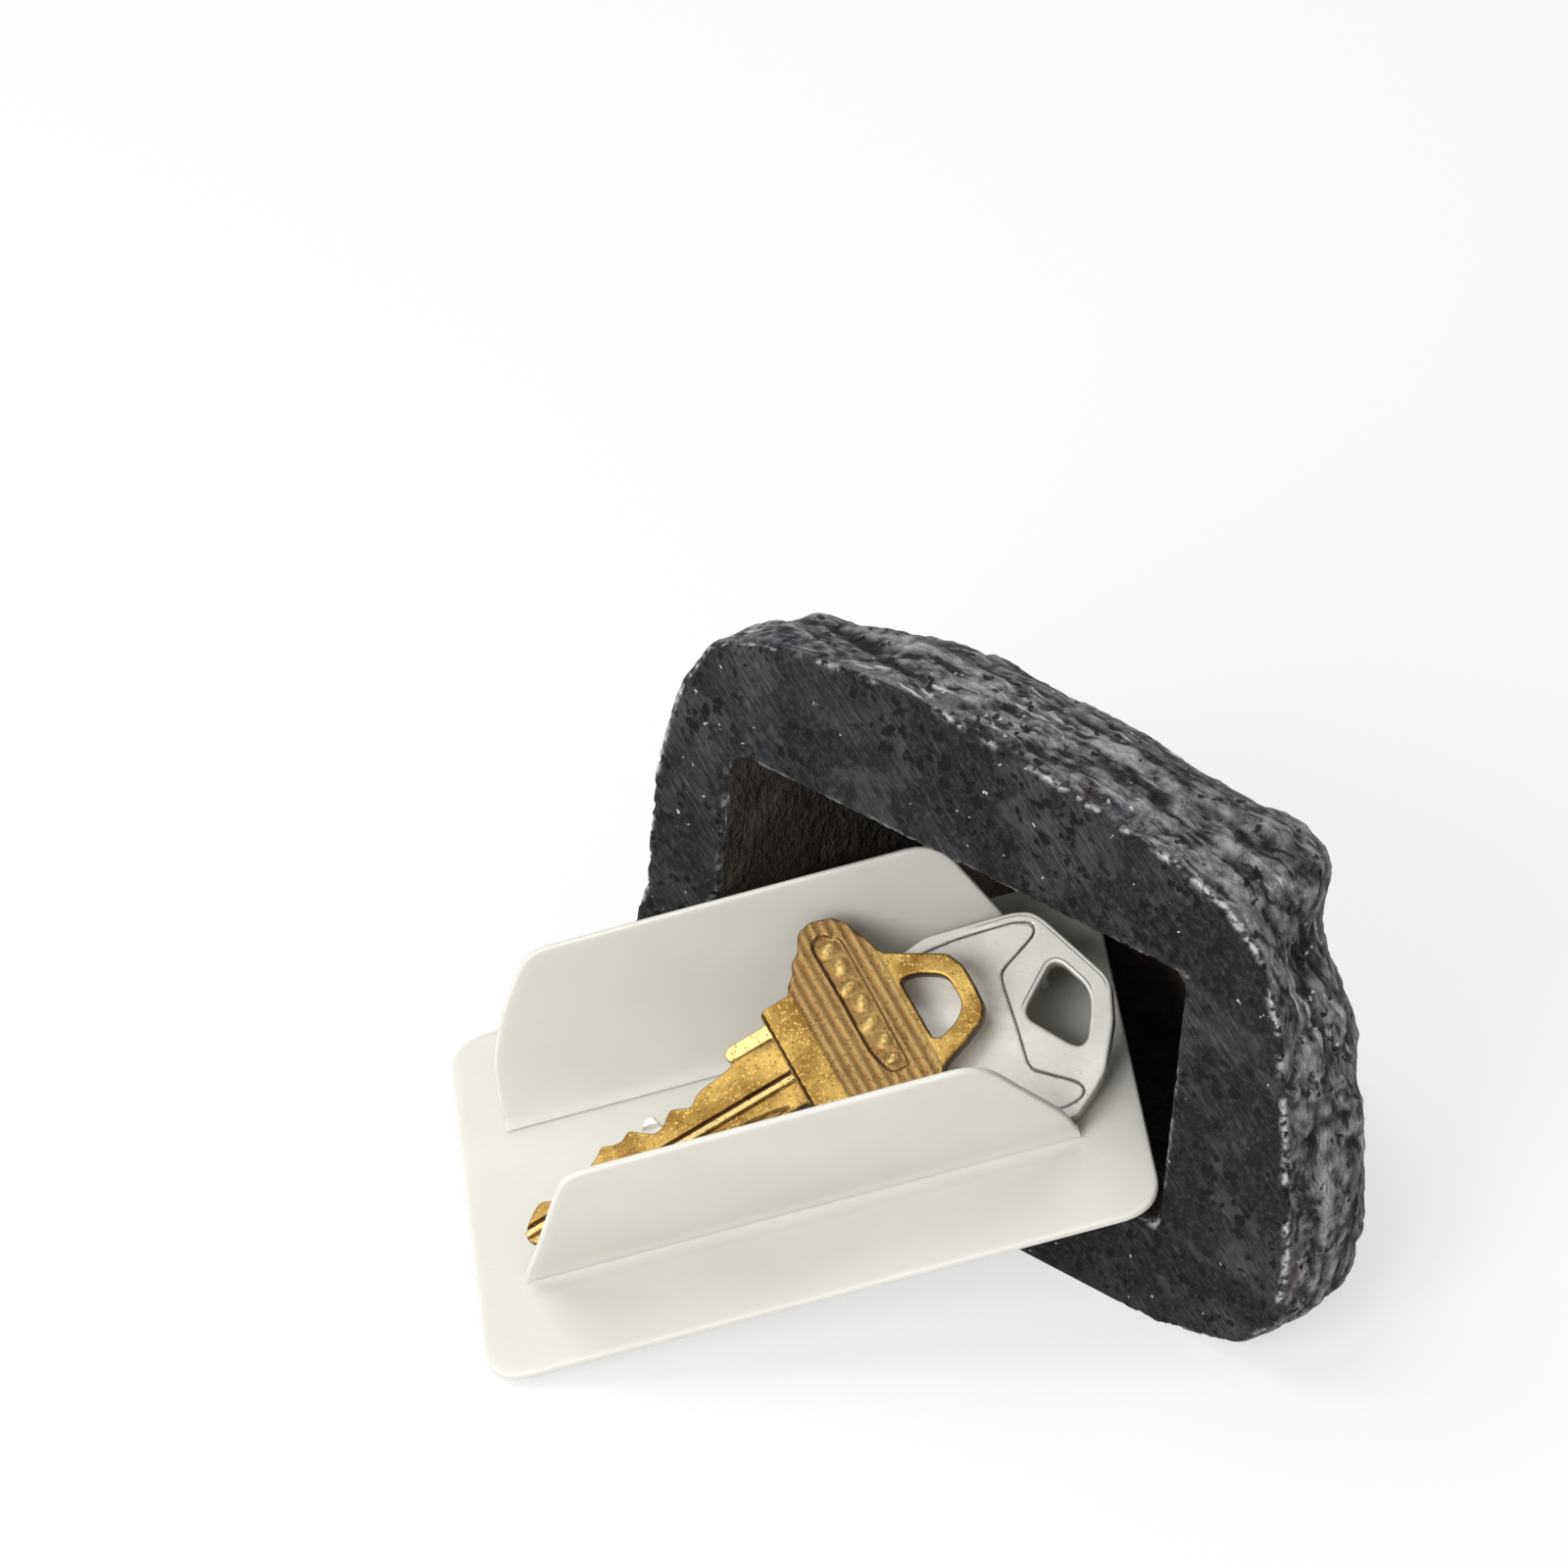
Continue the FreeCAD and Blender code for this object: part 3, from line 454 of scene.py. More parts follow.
def rockFinish():
    material, tree, shader = newMaterial("castStone")
    paint = paints(rockLook)

    # outer skin: dark and layered, with a painted highlight along the ridges, and reddish and blue stains and
    # grit
    cloud = mottled(tree, Size=0.006, Detail=9.0, High=0.62, Warp=0.6)
    dust = mottled(tree, Size=0.0007, Detail=5.0, Low=0.42, High=0.66, Shift=0.61)
    layers = streaked(tree, Size=0.0009, Stretch=8.0, Broad=8.0, Low=0.53, High=0.64, Bend=0.006)
    patchy = mottled(tree, Size=0.009, Detail=5.0, Low=0.42, Shift=0.52)
    cracks = streaked(tree, Size=0.0008, Stretch=6.0, Broad=6.0, Low=0.54, High=0.6, Shift=0.31, Bend=0.008)
    redStain = mottled(tree, Size=0.014, Low=0.46, High=0.62, Shift=0.4)
    blueStain = mottled(tree, Size=0.011, Detail=4.0, Low=0.56, High=0.66, Shift=0.9)
    skin = blend(tree, cloud, paint.skinDark, paint.skinPale)
    skin = coats(
        tree, skin, (dust, 0.4, paint.dust), (times(tree, layers, patchy), 0.9, paint.layers),
        (cracks, 0.9, paint.black), (redStain, 0.45, paint.redStain), (blueStain, 0.5, paint.blueStain))

    # crown: marbled cream patches and navy stains over charcoal
    cloud = mottled(tree, Size=0.007, Detail=7.0, High=0.68, Shift=0.17)
    navy = mottled(tree, Size=0.012, Detail=5.0, Low=0.54, High=0.62, Warp=0.8, Shift=0.6)
    fine = mottled(tree, Size=0.0018, Detail=5.0, Low=0.36, High=0.62, Shift=0.23)
    patch = mottled(tree, Size=0.022, Detail=9.0, Low=0.49, High=0.56, Warp=1.2, Shift=0.05)
    wisps = mottled(tree, Size=0.0036, Detail=8.0, High=0.54, Warp=1.6, Shift=0.77)
    patch = times(tree, patch, weighed(tree, 0.1, (wisps, 0.85)))
    cream = blend(tree, fine, paint.creamDark, paint.creamPale)
    charcoal = blend(tree, cloud, paint.charcoalDark, paint.charcoalPale)
    crown = coats(tree, charcoal, (navy, 0.8, paint.navy), (patch, 1.0, cream))

    grit = specked(tree, Size=0.0008, Radius=0.36, Share=0.13, Shift=0.2)
    grit = times(tree, grit, patchy)
    holes = specked(tree, Size=0.0019, Shift=0.5)
    # the ridge mask is a painted highlight and the crevice mask painted shade; grit and holes are the stone's
    # own
    skin = coats(
        tree, skin, (maskOf(tree, "crownSide"), 1.0, crown), (maskOf(tree, "ridge"), 0.5, paint.ridge),
        (maskOf(tree, "creviceShade"), 0.9, paint.black), (grit, 0.8, paint.grit), (holes, 0.95, paint.holes))

    # cut base: charcoal with paler clouds, saw scratches and round air holes; its tones are partly its own
    # charcoal and partly painted shade, kept darker than the skin for a face turned away from the light
    cloud = mottled(tree, Size=0.012, Detail=7.0, Low=0.46, Warp=0.7, Shift=0.35)
    pale = mottled(tree, Size=0.007, Detail=6.0, Low=0.55, High=0.62, Warp=0.5, Shift=0.83)
    scratch = streaked(tree, Size=0.00022, Stretch=26.0, Turn=-0.856, Low=0.5, High=0.66, Shift=0.11)
    scratch = times(tree, scratch, weighed(tree, 0.4, (cloud, 0.6)))
    scratchDark = streaked(tree, Size=0.00032, Stretch=20.0, Turn=-0.8, Low=0.52, High=0.62, Shift=0.71)
    fine = mottled(tree, Size=0.0006, Detail=4.0, Low=0.45, High=0.7, Shift=0.91)
    gather = mottled(tree, Size=0.013, Detail=2.0, Low=0.38, High=0.48, Shift=0.27)
    air = specked(tree, Size=0.0024, Radius=0.38, Share=0.75, Shift=0.62)
    tiny = specked(tree, Size=0.0013, Radius=0.38, Share=0.45, Shift=0.48)
    air = times(tree, sums(tree, "MAXIMUM", air, tiny), gather)
    fleck = specked(tree, Size=0.0016, Radius=0.14, Share=0.2, Shift=0.02)
    base = blend(tree, cloud, paint.black, paint.basePale)
    base = coats(
        tree, base, (pale, 0.5, paint.baseCloud), (scratch, 0.42, paint.scratchPale),
        (scratchDark, 0.75, paint.black), (fine, 0.24, paint.baseGrain), (air, 1.0, paint.airHole),
        (fleck, 0.9, paint.fleck))

    # inside the cavity
    cloud = mottled(tree, Size=0.005, Detail=4.0, High=0.7, Shift=0.15)
    inside = blend(tree, cloud, paint.hollowDark, paint.hollowPale)

    cutFace = maskOf(tree, "cutFace")
    crumb = mottled(tree, Size=0.0008, Detail=4.0, Low=0.38, High=0.58, Shift=0.44)
    crumb = times(tree, maskOf(tree, "crumble"), crumb)
    colour = coats(
        tree, skin, (cutFace, 1.0, base), (maskOf(tree, "hollow"), 1.0, inside), (crumb, 1.0, paint.crumble))

    gritty = mottled(tree, Size=0.0009, Detail=7.0, Low=0.2, High=0.8, Shift=0.3)
    relief = weighed(tree, 0.0, (gritty, 0.9), (grit, 0.3), (layers, 0.5), (holes, -0.9), (cracks, -0.5))
    flatRelief = weighed(tree, 0.0, (scratch, 0.16), (scratchDark, -0.14), (air, -1.0))
    height = wire(tree, "Mix", {0: cutFace, 2: relief, 3: flatRelief}, data_type="FLOAT")
    wet = mottled(tree, Size=0.006, Detail=4.0, High=0.7, Shift=0.81)
    wetCrown = times(tree, wet, maskOf(tree, "crownSide"))
    feed(tree, shader, {
        "Base Color": colour, "Roughness": weighed(tree, 0.84, (wetCrown, -0.34)),
        "Normal": bumpOf(tree, strength=0.8, distance=0.0005, height=height), "Specular IOR Level": 0.24})
    return material


makeRock()


# sheets and keys are laid out flat, then given their relief

sheetLook = {
    "cornerShare": 0.45, "leastCut": 1e-4, "probe": 0.02, "ringShare": 0.8, "gridShare": 0.45, "merge": 1e-5,
    "sharpAngle": 38.0,
}


def smoothCorners(corners, cuts, steps):
    # rounds every corner from this far along its sides; cuts may be one number or one for each corner
    made = []
    total = len(corners)
    cuts = cuts if isinstance(cuts, (list, tuple)) else [cuts] * total
    most = sheetLook["cornerShare"]
    for i in range(total):
        a, b, c = (np.array(corners[(i + k) % total], float) for k in (-1, 0, 1))
        one, two = a - b, c - b
        cut = min(cuts[i], most * np.linalg.norm(one), most * np.linalg.norm(two))
        if cut < sheetLook["leastCut"]:
            made.append(tuple(b))
            continue
        start, end = b + one / np.linalg.norm(one) * cut, b + two / np.linalg.norm(two) * cut
        for k in range(steps + 1):
            t = k / steps
            made.append(tuple((1 - t) ** 2 * start + 2 * t * (1 - t) * b + t * t * end))
    return made


def walk(corners, gap):
    made = []
    for a, b in zip(corners, corners[1:] + corners[:1]):
        a, b = np.array(a, float), np.array(b, float)
        parts = max(1, int(math.ceil(np.linalg.norm(b - a) / gap)))
        made += [tuple(a + (b - a) * k / parts) for k in range(parts)]
    return made


def mirrored(corners):
    # the same corners beyond the key's middle line, in the opposite order
    return [(x, -y) for x, y in reversed(corners)]


def insideBy(points, outline, holes):
    # how far inside the sheet each point lies
    gaps = [-outlineGap(points, outline)] + [outlineGap(points, hole) for hole in holes]
    return np.minimum.reduce(gaps)


def ringsAlong(loop, rings, outline, holes):
    # spots beside an edge, at each of the distances in rings
    p = np.array(loop)
    along = np.roll(p, -1, 0) - np.roll(p, 1, 0)
    long = np.maximum(np.linalg.norm(along, axis=1), 1e-9)
    across = np.stack([-along[:, 1], along[:, 0]], 1) / long[:, None]
    probe = across * sheetLook["probe"]
    facing = insideBy(p + probe, outline, holes) > insideBy(p - probe, outline, holes)
    across = np.where(facing[:, None], across, -across)
    made = []
    for gap in rings:
        moved = p + across * gap
        made.append(moved[insideBy(moved, outline, holes) > gap * sheetLook["ringShare"]])
    return made


def gridInside(gap, rings, outline, holes):
    low, high = np.min(outline, 0), np.max(outline, 0)
    gridX, gridY = np.meshgrid(np.arange(low[0], high[0], gap), np.arange(low[1], high[1], gap))
    gridX = gridX + (np.arange(gridX.shape[0]) % 2)[:, None] * gap * 0.5
    grid = np.stack([gridX.ravel(), gridY.ravel()], 1)
    return grid[insideBy(grid, outline, holes) > max(rings) + gap * sheetLook["gridShare"]]


def flatFaces(outline, holes, gap, rings, extra):
    # the sheet laid flat: its spots and its triangles, all turned the same way
    loops = [walk(list(outline), gap)] + [walk(list(hole), gap) for hole in holes]
    spots, bounds, inner = [], [], []
    for loop in loops:
        start = len(spots)
        spots += loop
        bounds += [(start + k, start + (k + 1) % len(loop)) for k in range(len(loop))]
        inner += ringsAlong(loop, rings, outline, holes)
    inner.append(gridInside(gap, rings, outline, holes))
    if extra:
        inner.append(np.array(extra, float))
    spots = np.concatenate([np.array(spots)] + inner)
    flat, _, faces, _, _, _ = delaunay_2d_cdt([Vector(p) for p in spots], bounds, [], 0, sheetLook["merge"])
    flat = np.array([tuple(p) for p in flat])
    faces = np.array([list(face) for face in faces])
    faces = faces[insideBy(flat[faces].mean(axis=1), outline, holes) > 0]
    a, b, c = (flat[faces[:, k]] for k in range(3))
    turn = (b[:, 0] - a[:, 0]) * (c[:, 1] - a[:, 1]) - (b[:, 1] - a[:, 1]) * (c[:, 0] - a[:, 0])
    faces[turn < 0] = faces[turn < 0][:, ::-1]
    used, faces = np.unique(faces, return_inverse=True)
    return flat[used], faces.reshape(-1, 3)


def reliefPiece(name, look, outline, holes, top, bottom, extra=()):
    # a closed flat piece with a height for each spot on its top and its underside
    flat, faces = flatFaces(outline, holes, look.gap, look.rings, extra)
    inward = np.maximum(insideBy(flat, outline, holes), 0.0)
    pairs = np.concatenate([faces[:, [0, 1]], faces[:, [1, 2]], faces[:, [2, 0]]])
    count = len(flat)
    tag = pairs[:, 0].astype(np.int64) * count + pairs[:, 1]
    back = pairs[:, 1].astype(np.int64) * count + pairs[:, 0]
    rim = pairs[~np.isin(tag, back)]
    upper = np.column_stack([flat, top(flat, inward)])
    lower = np.column_stack([flat, bottom(flat, inward)])
    walls = np.column_stack([rim[:, 1], rim[:, 0], rim[:, 0] + count, rim[:, 1] + count])
    mesh = bpy.data.meshes.new(name)
    mesh.from_pydata((np.concatenate([upper, lower]) / perMetre).tolist(), [],
                     faces.tolist() + (faces[:, ::-1] + count).tolist() + walls.tolist())
    mesh.shade_smooth()
    mesh.set_sharp_from_angle(angle=math.radians(sheetLook["sharpAngle"]))
    return mesh, np.concatenate([flat, flat]), np.concatenate([inward, inward]), np.arange(2 * count) < count


def rounding(inward, radius):
    # how far an edge rounded by this radius lies below the face
    d = np.clip(inward, 0.0, radius)
    return radius - np.sqrt(np.maximum(radius ** 2 - (radius - d) ** 2, 0.0))


def roundedUnderside(radius):
    return lambda spot, inward: rounding(inward, radius)


def setDown(name, mesh, seat, body, node, material):
    piece = added(name, mesh)
    along, across = (Vector(axis) for axis in seat["axes"])
    axes = Matrix((along, across, along.cross(across))).transposed().to_4x4()
    axes.translation = Vector(seat["at"]) / perMetre
    piece.matrix_world = axes
    mesh.materials.append(material)
    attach(piece, body)
    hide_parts(node)
    print("stage:", name, len(mesh.polygons), "faces")


alongInsert = (0.707617, 0.658479, 0.256289)  # the insert, its wings and the silver key all lie along this


# the moulded insert: a plate and two wings on living hinges

insertLook = {
    "seat": {"at": (-18.629, -49.724, -0.21), "axes": [alongInsert, (-0.693759, 0.716274, 0.075166)]},
    "long": 76.0, "wide": 50.4, "thick": 0.9, "cornerCut": 5.04, "edgeRound": 0.28,
    "gap": 0.9, "rings": (0.06, 0.16, 0.28),
    # a rail runs along each fold and a groove beside it; each pair is where an edge fades
    "folds": (13.0, 36.1), "foldStart": (5.2, 6.2), "foldEnd": (68.3, 69.3),
    "railHigh": 0.46, "railEdge": (0.36, 1.2),
    "grooveOff": 1.9, "grooveDeep": 0.08, "grooveEdge": (0.16, 0.8),
    "fineAcross": (-3.0, 3.01, 0.16), "fineAlong": (4.6, 70.0, 0.9),
    "tones": {"cloudDark": (212, 210, 201), "cloudPale": (218, 216, 209), "scuff": (196, 194, 186)},
}
wingLook = {
    "far": {"at": (-39.939, -20.572, 5.577), "axes": [alongInsert, (-0.297931, -0.050848, 0.953232)]},
    "near": {"at": (-23.913, -37.118, 3.841), "axes": [alongInsert, (0.03774, -0.397413, 0.916864)]},
    "rightSide": [(0.0, -0.9), (63.3, -0.9), (63.2, 0.6), (62.4, 5.2), (56.1, 20.9)],
    "rightCuts": [0.2, 0.2, 0.5, 2.0, 3.6],
    "farLeft": [(8.9, 20.9), (5.9, 16.9), (3.4, 13.0), (1.2, 8.2), (0.2, 3.0)],
    "nearLeft": [(9.6, 20.8), (7.3, 16.2), (4.7, 10.2), (2.2, 4.4), (0.5, 1.0)],
    "leftCuts": [3.2, 3.0, 3.0, 3.0, 1.0],
    "thick": 0.8, "edgeRound": 0.3, "bow": 0.3, "bowLong": 63.0,
    "gap": 0.8, "rings": (0.07, 0.18, 0.3),
    # the root is thicker at the hinge, where the edge isn't rounded
    "rootLow": -0.9, "rootHigh": 1.8, "rootFlare": 0.8, "rootEdge": (0.0, 1.0),
    # the near wing's root is slim beside the keys, so that it clears them when it folds out
    "nearKeySideFlare": 0.15,
}


def plasticFinish():
    material, tree, shader = newMaterial("milkyPlastic")
    paint = paints(insertLook)
    cloud = mottled(tree, Size=0.02, Detail=2.0, Low=0.3, High=0.7, Shift=0.33)
    colour = blend(tree, cloud, paint.cloudDark, paint.cloudPale)
    fine = mottled(tree, Size=0.0011, Low=0.25, High=0.75, Shift=0.1)
    scuff = streaked(tree, Size=0.0004, Stretch=30.0, Turn=0.2, Tilt=0.5, Low=0.66, High=0.74, Shift=0.5)
    colour = coats(tree, colour, (scuff, 0.12, paint.scuff))
    relief = weighed(tree, 0.0, (fine, 0.5), (scuff, -0.3))
    bump = bumpOf(tree, strength=0.12, distance=0.0002, height=relief)
    feed(tree, shader, {
        "Base Color": colour, "Roughness": weighed(tree, 0.36, (fine, 0.1)), "Normal": bump,
        "Subsurface Weight": 0.5, "Subsurface Radius": (1.0, 0.98, 0.94), "Subsurface Scale": 0.0016,
        "Specular IOR Level": 0.45})
    return material


plastic = plasticFinish()


def makePlate():
    look = SimpleNamespace(**insertLook)
    long, wide = look.long, look.wide
    outline = smoothCorners([(0, 0), (long, 0), (long, wide), (0, wide)], look.cornerCut, steps=10)

    def top(spot, inward):
        x, y = spot[:, 0], spot[:, 1]
        height = look.thick - rounding(inward, look.edgeRound)
        along = step(x, *look.foldStart) * (1.0 - step(x, *look.foldEnd))
        for fold, side in zip(look.folds, (-1.0, 1.0)):
            height += look.railHigh * band(y, fold, look.railEdge) * along
            height -= look.grooveDeep * band(y, fold + side * look.grooveOff, look.grooveEdge) * along
        return height

    lines = [(x, fold + off) for fold in look.folds for off in np.arange(*look.fineAcross)
             for x in np.arange(*look.fineAlong)]
    mesh = reliefPiece("trayPlate", look, outline, [], top, roundedUnderside(look.edgeRound), lines)[0]
    setDown("trayPlate", mesh, look.seat, "insert", "cover_plate", plastic)


def makeWing(name, seat, body, side):
    look = SimpleNamespace(**wingLook)
    left = look.farLeft if side < 0 else look.nearLeft
    outline = smoothCorners(look.rightSide + left, look.rightCuts + look.leftCuts, steps=6)
    half = look.thick * 0.5
    high = max(p[1] for p in outline)
    slim = look.nearKeySideFlare if side > 0 else 1.0

    def flare(spot):
        t = np.clip((spot[:, 1] - look.rootLow) / look.rootHigh, 0.0, 1.0)
        return look.rootFlare * (1.0 - t) ** 2

    def bend(spot):
        # the sheet bows away from the keys, most at mid height
        up = np.clip(spot[:, 1] / high, 0.0, 1.0)
        along = np.clip(spot[:, 0] / look.bowLong, 0.0, 1.0)
        return side * look.bow * np.sin(math.pi * up) * np.sin(math.pi * along)

    def rounded(spot, inward):
        return rounding(inward, look.edgeRound) * step(spot[:, 1], *look.rootEdge)

    def top(spot, inward):
        return half + flare(spot) + bend(spot) - rounded(spot, inward)

    def bottom(spot, inward):
        return -half - slim * flare(spot) + bend(spot) + rounded(spot, inward)

    mesh = reliefPiece(name, look, outline, [], top, bottom)[0]
    node = "far_wing" if side < 0 else "near_wing"
    setDown(name, mesh, seat, body, node, plastic)


makePlate()
makeWing("farWingSheet", wingLook["far"], "far_wing", -1.0)
makeWing("nearWingSheet", wingLook["near"], "near_wing", 1.0)


# the nickel silver key

silverLook = {
    "seat": {"at": (-1.996, 0.281, 20.483), "axes": [alongInsert, (-0.69226, 0.573354, 0.438226)]},
    "thick": 2.0, "edgeRound": 0.42, "underRound": 0.3, "gap": 0.22,
    "rings": (0.05, 0.14, 0.28, 0.42, 0.5, 0.6),
    "outlineCut": 0.7, "holeCut": 0.9, "panelCut": 1.0,
    "bow": [(26.2, 1.2), (25.9, 2.6), (20.8, 10.6), (19.6, 11.9), (17.6, 12.4)],
    "shoulder": [(7.4, 12.2), (4.6, 11.1), (1.6, 9.4), (-1.2, 6.6), (-1.4, 4.0)],
    "cuts": [(-4.2, 4.0), (-5.6, 2.4), (-7.4, 2.4), (-9.2, 3.6), (-10.8, 1.4), (-12.4, 1.4), (-14.0, 2.9),
             (-15.6, 1.9), (-17.2, 1.9), (-18.8, 2.2), (-20.4, 0.2), (-22.2, -0.8), (-24.6, -1.7),
             (-25.7, -1.2), (-26.6, 0.3), (-27.4, 0.2), (-28.4, -1.3), (-27.2, -4.0)],
    "bowNear": [(19.0, -12.4), (21.8, -9.9), (23.3, -8.2), (25.5, -2.8)],
    "hole": [(20.7, 5.5), (21.5, 5.0), (23.4, 2.0), (23.6, 0.3), (23.3, -1.1), (22.2, -4.2), (21.3, -4.7),
             (20.3, -4.2), (16.6, -0.3), (16.3, 0.6), (16.7, 1.5), (20.0, 5.3)],
    "panel": [(3.6, 8.9), (6.7, 10.4), (10.8, 11.0), (17.4, 11.2), (19.0, 10.7), (19.5, 9.9), (19.0, 9.0),
              (15.2, 6.3), (14.7, 5.7), (14.6, 4.4), (15.0, -0.6), (15.2, -5.1), (15.6, -6.0), (17.6, -7.2),
              (20.0, -8.6), (20.6, -9.6), (20.2, -10.4), (18.4, -11.1), (10.6, -11.0), (6.6, -10.2),
              (3.6, -8.8), (1.4, -6.4), (0.3, -3.6), (0.0, 0.0), (0.3, 3.6), (1.6, 6.8)],
    # the panel, the line around it and the bevel along the bow's far edge; the line and the bevel also take
    # painted shade, as much as bevelDark sets for the bevel
    "panelDeep": 0.1, "panelEdge": (-0.15, 0.0),
    "lineDeep": 0.22, "lineEdge": (0.081, 0.1674), "lineGap": 0.16, "lineSide": 0.13,
    "bevelDeep": 0.1, "bevelAt": 0.5, "bevelEdge": (0.03, 0.11), "bevelFromX": (12.0, 14.0),
    "bevelFromY": (0.5, 2.0), "bevelDark": 0.85,
    # milled ways along the blade: where, their edges and how deep
    "bladeFrom": (-1.9, -1.3), "keyways": [(-1.6, (0.55, 0.75), 0.6), (1.4, (0.25, 0.4), 0.3)],
    "wallEdge": (0.02, 0.1),
    # wall and line are the tones of painted shade
    "tones": {
        "cloudDark": (240, 237, 228), "cloudPale": (249, 247, 239), "dull": (216, 212, 200),
        "hair": (150, 145, 134), "dots": (110, 104, 92), "wall": (92, 88, 82), "line": (8, 8, 7),
    },
}


def silverFinish():
    material, tree, shader = newMaterial("nickelSilver")
    paint = paints(silverLook)
    cloud = mottled(tree, Size=0.006, Low=0.35, High=0.65, Shift=0.13)
    colour = blend(tree, cloud, paint.cloudDark, paint.cloudPale)
    dull = mottled(tree, Size=0.005, Low=0.5, High=0.72, Shift=0.4)
    hair = streaked(tree, Size=0.0002, Stretch=26.0, Tilt=0.55, Low=0.6, High=0.7, Shift=0.21)
    dots = specked(tree, Size=0.0011, Radius=0.16, Share=0.2, Shift=0.7)
    # the wall mask is painted shade on the key's sides and the hole's walls; the dark mask is painted shade
    # in the panel line and along the bevel
    colour = coats(
        tree, colour, (dull, 0.3, paint.dull), (hair, 0.14, paint.hair), (dots, 0.6, paint.dots),
        (maskOf(tree, "wall"), 0.7, paint.wall), (maskOf(tree, "dark"), 1.0, paint.line))
    relief = weighed(tree, 0.0, (hair, 0.3), (dots, -1.0))
    bump = bumpOf(tree, strength=0.25, distance=0.0001, height=relief)
    feed(tree, shader, {
        "Base Color": colour, "Metallic": 0.0, "Specular IOR Level": 0.9,
        "Roughness": weighed(tree, 0.27, (dull, 0.2)), "Normal": bump})
    return material


def makeSilverKey():
    look = SimpleNamespace(**silverLook)
    sides = look.bow + look.shoulder + look.cuts + mirrored(look.shoulder) + look.bowNear
    outline = smoothCorners(sides, look.outlineCut, steps=3)
    hole = smoothCorners(look.hole, look.holeCut, steps=3)
    panel = smoothCorners(look.panel, look.panelCut, steps=3)

    def marks(spot, inward):
        line = band(outlineGap(spot, panel), 0.0, look.lineEdge)
        farEdge = step(spot[:, 0], *look.bevelFromX) * step(spot[:, 1], *look.bevelFromY)
        return line, band(inward, look.bevelAt, look.bevelEdge) * farEdge

    def top(spot, inward):
        line, bevel = marks(spot, inward)
        height = look.thick - rounding(inward, look.edgeRound)
        height -= look.panelDeep * (1.0 - step(outlineGap(spot, panel), *look.panelEdge))
        height -= look.lineDeep * line + look.bevelDeep * bevel
        onBlade = 1.0 - step(spot[:, 0], *look.bladeFrom)
        for middle, edge, deep in look.keyways:
            height -= deep * onBlade * band(spot[:, 1], middle, edge)
        return height

    side = look.lineSide
    beside = ((0.0, 0.0), (0.0, side), (0.0, -side), (side, 0.0), (-side, 0.0))
    lines = [tuple(np.array(p) + off) for p in walk(panel, look.lineGap) for off in beside]
    under = roundedUnderside(look.underRound)
    mesh, spot, inward, isTop = reliefPiece("silverKey", look, outline, [hole], top, under, lines)
    line, bevel = marks(spot, inward)
    # painted shade: the dark mask in the panel line and the bevel, the wall mask on the sides
    setMasks(mesh, {
        "dark": np.maximum(line, look.bevelDark * bevel) * isTop,
        "wall": 1.0 - step(inward, *look.wallEdge),
    })
    setDown("silverKey", mesh, look.seat, "silver_key", "silver_key", silverFinish())


makeSilverKey()


# the brass key

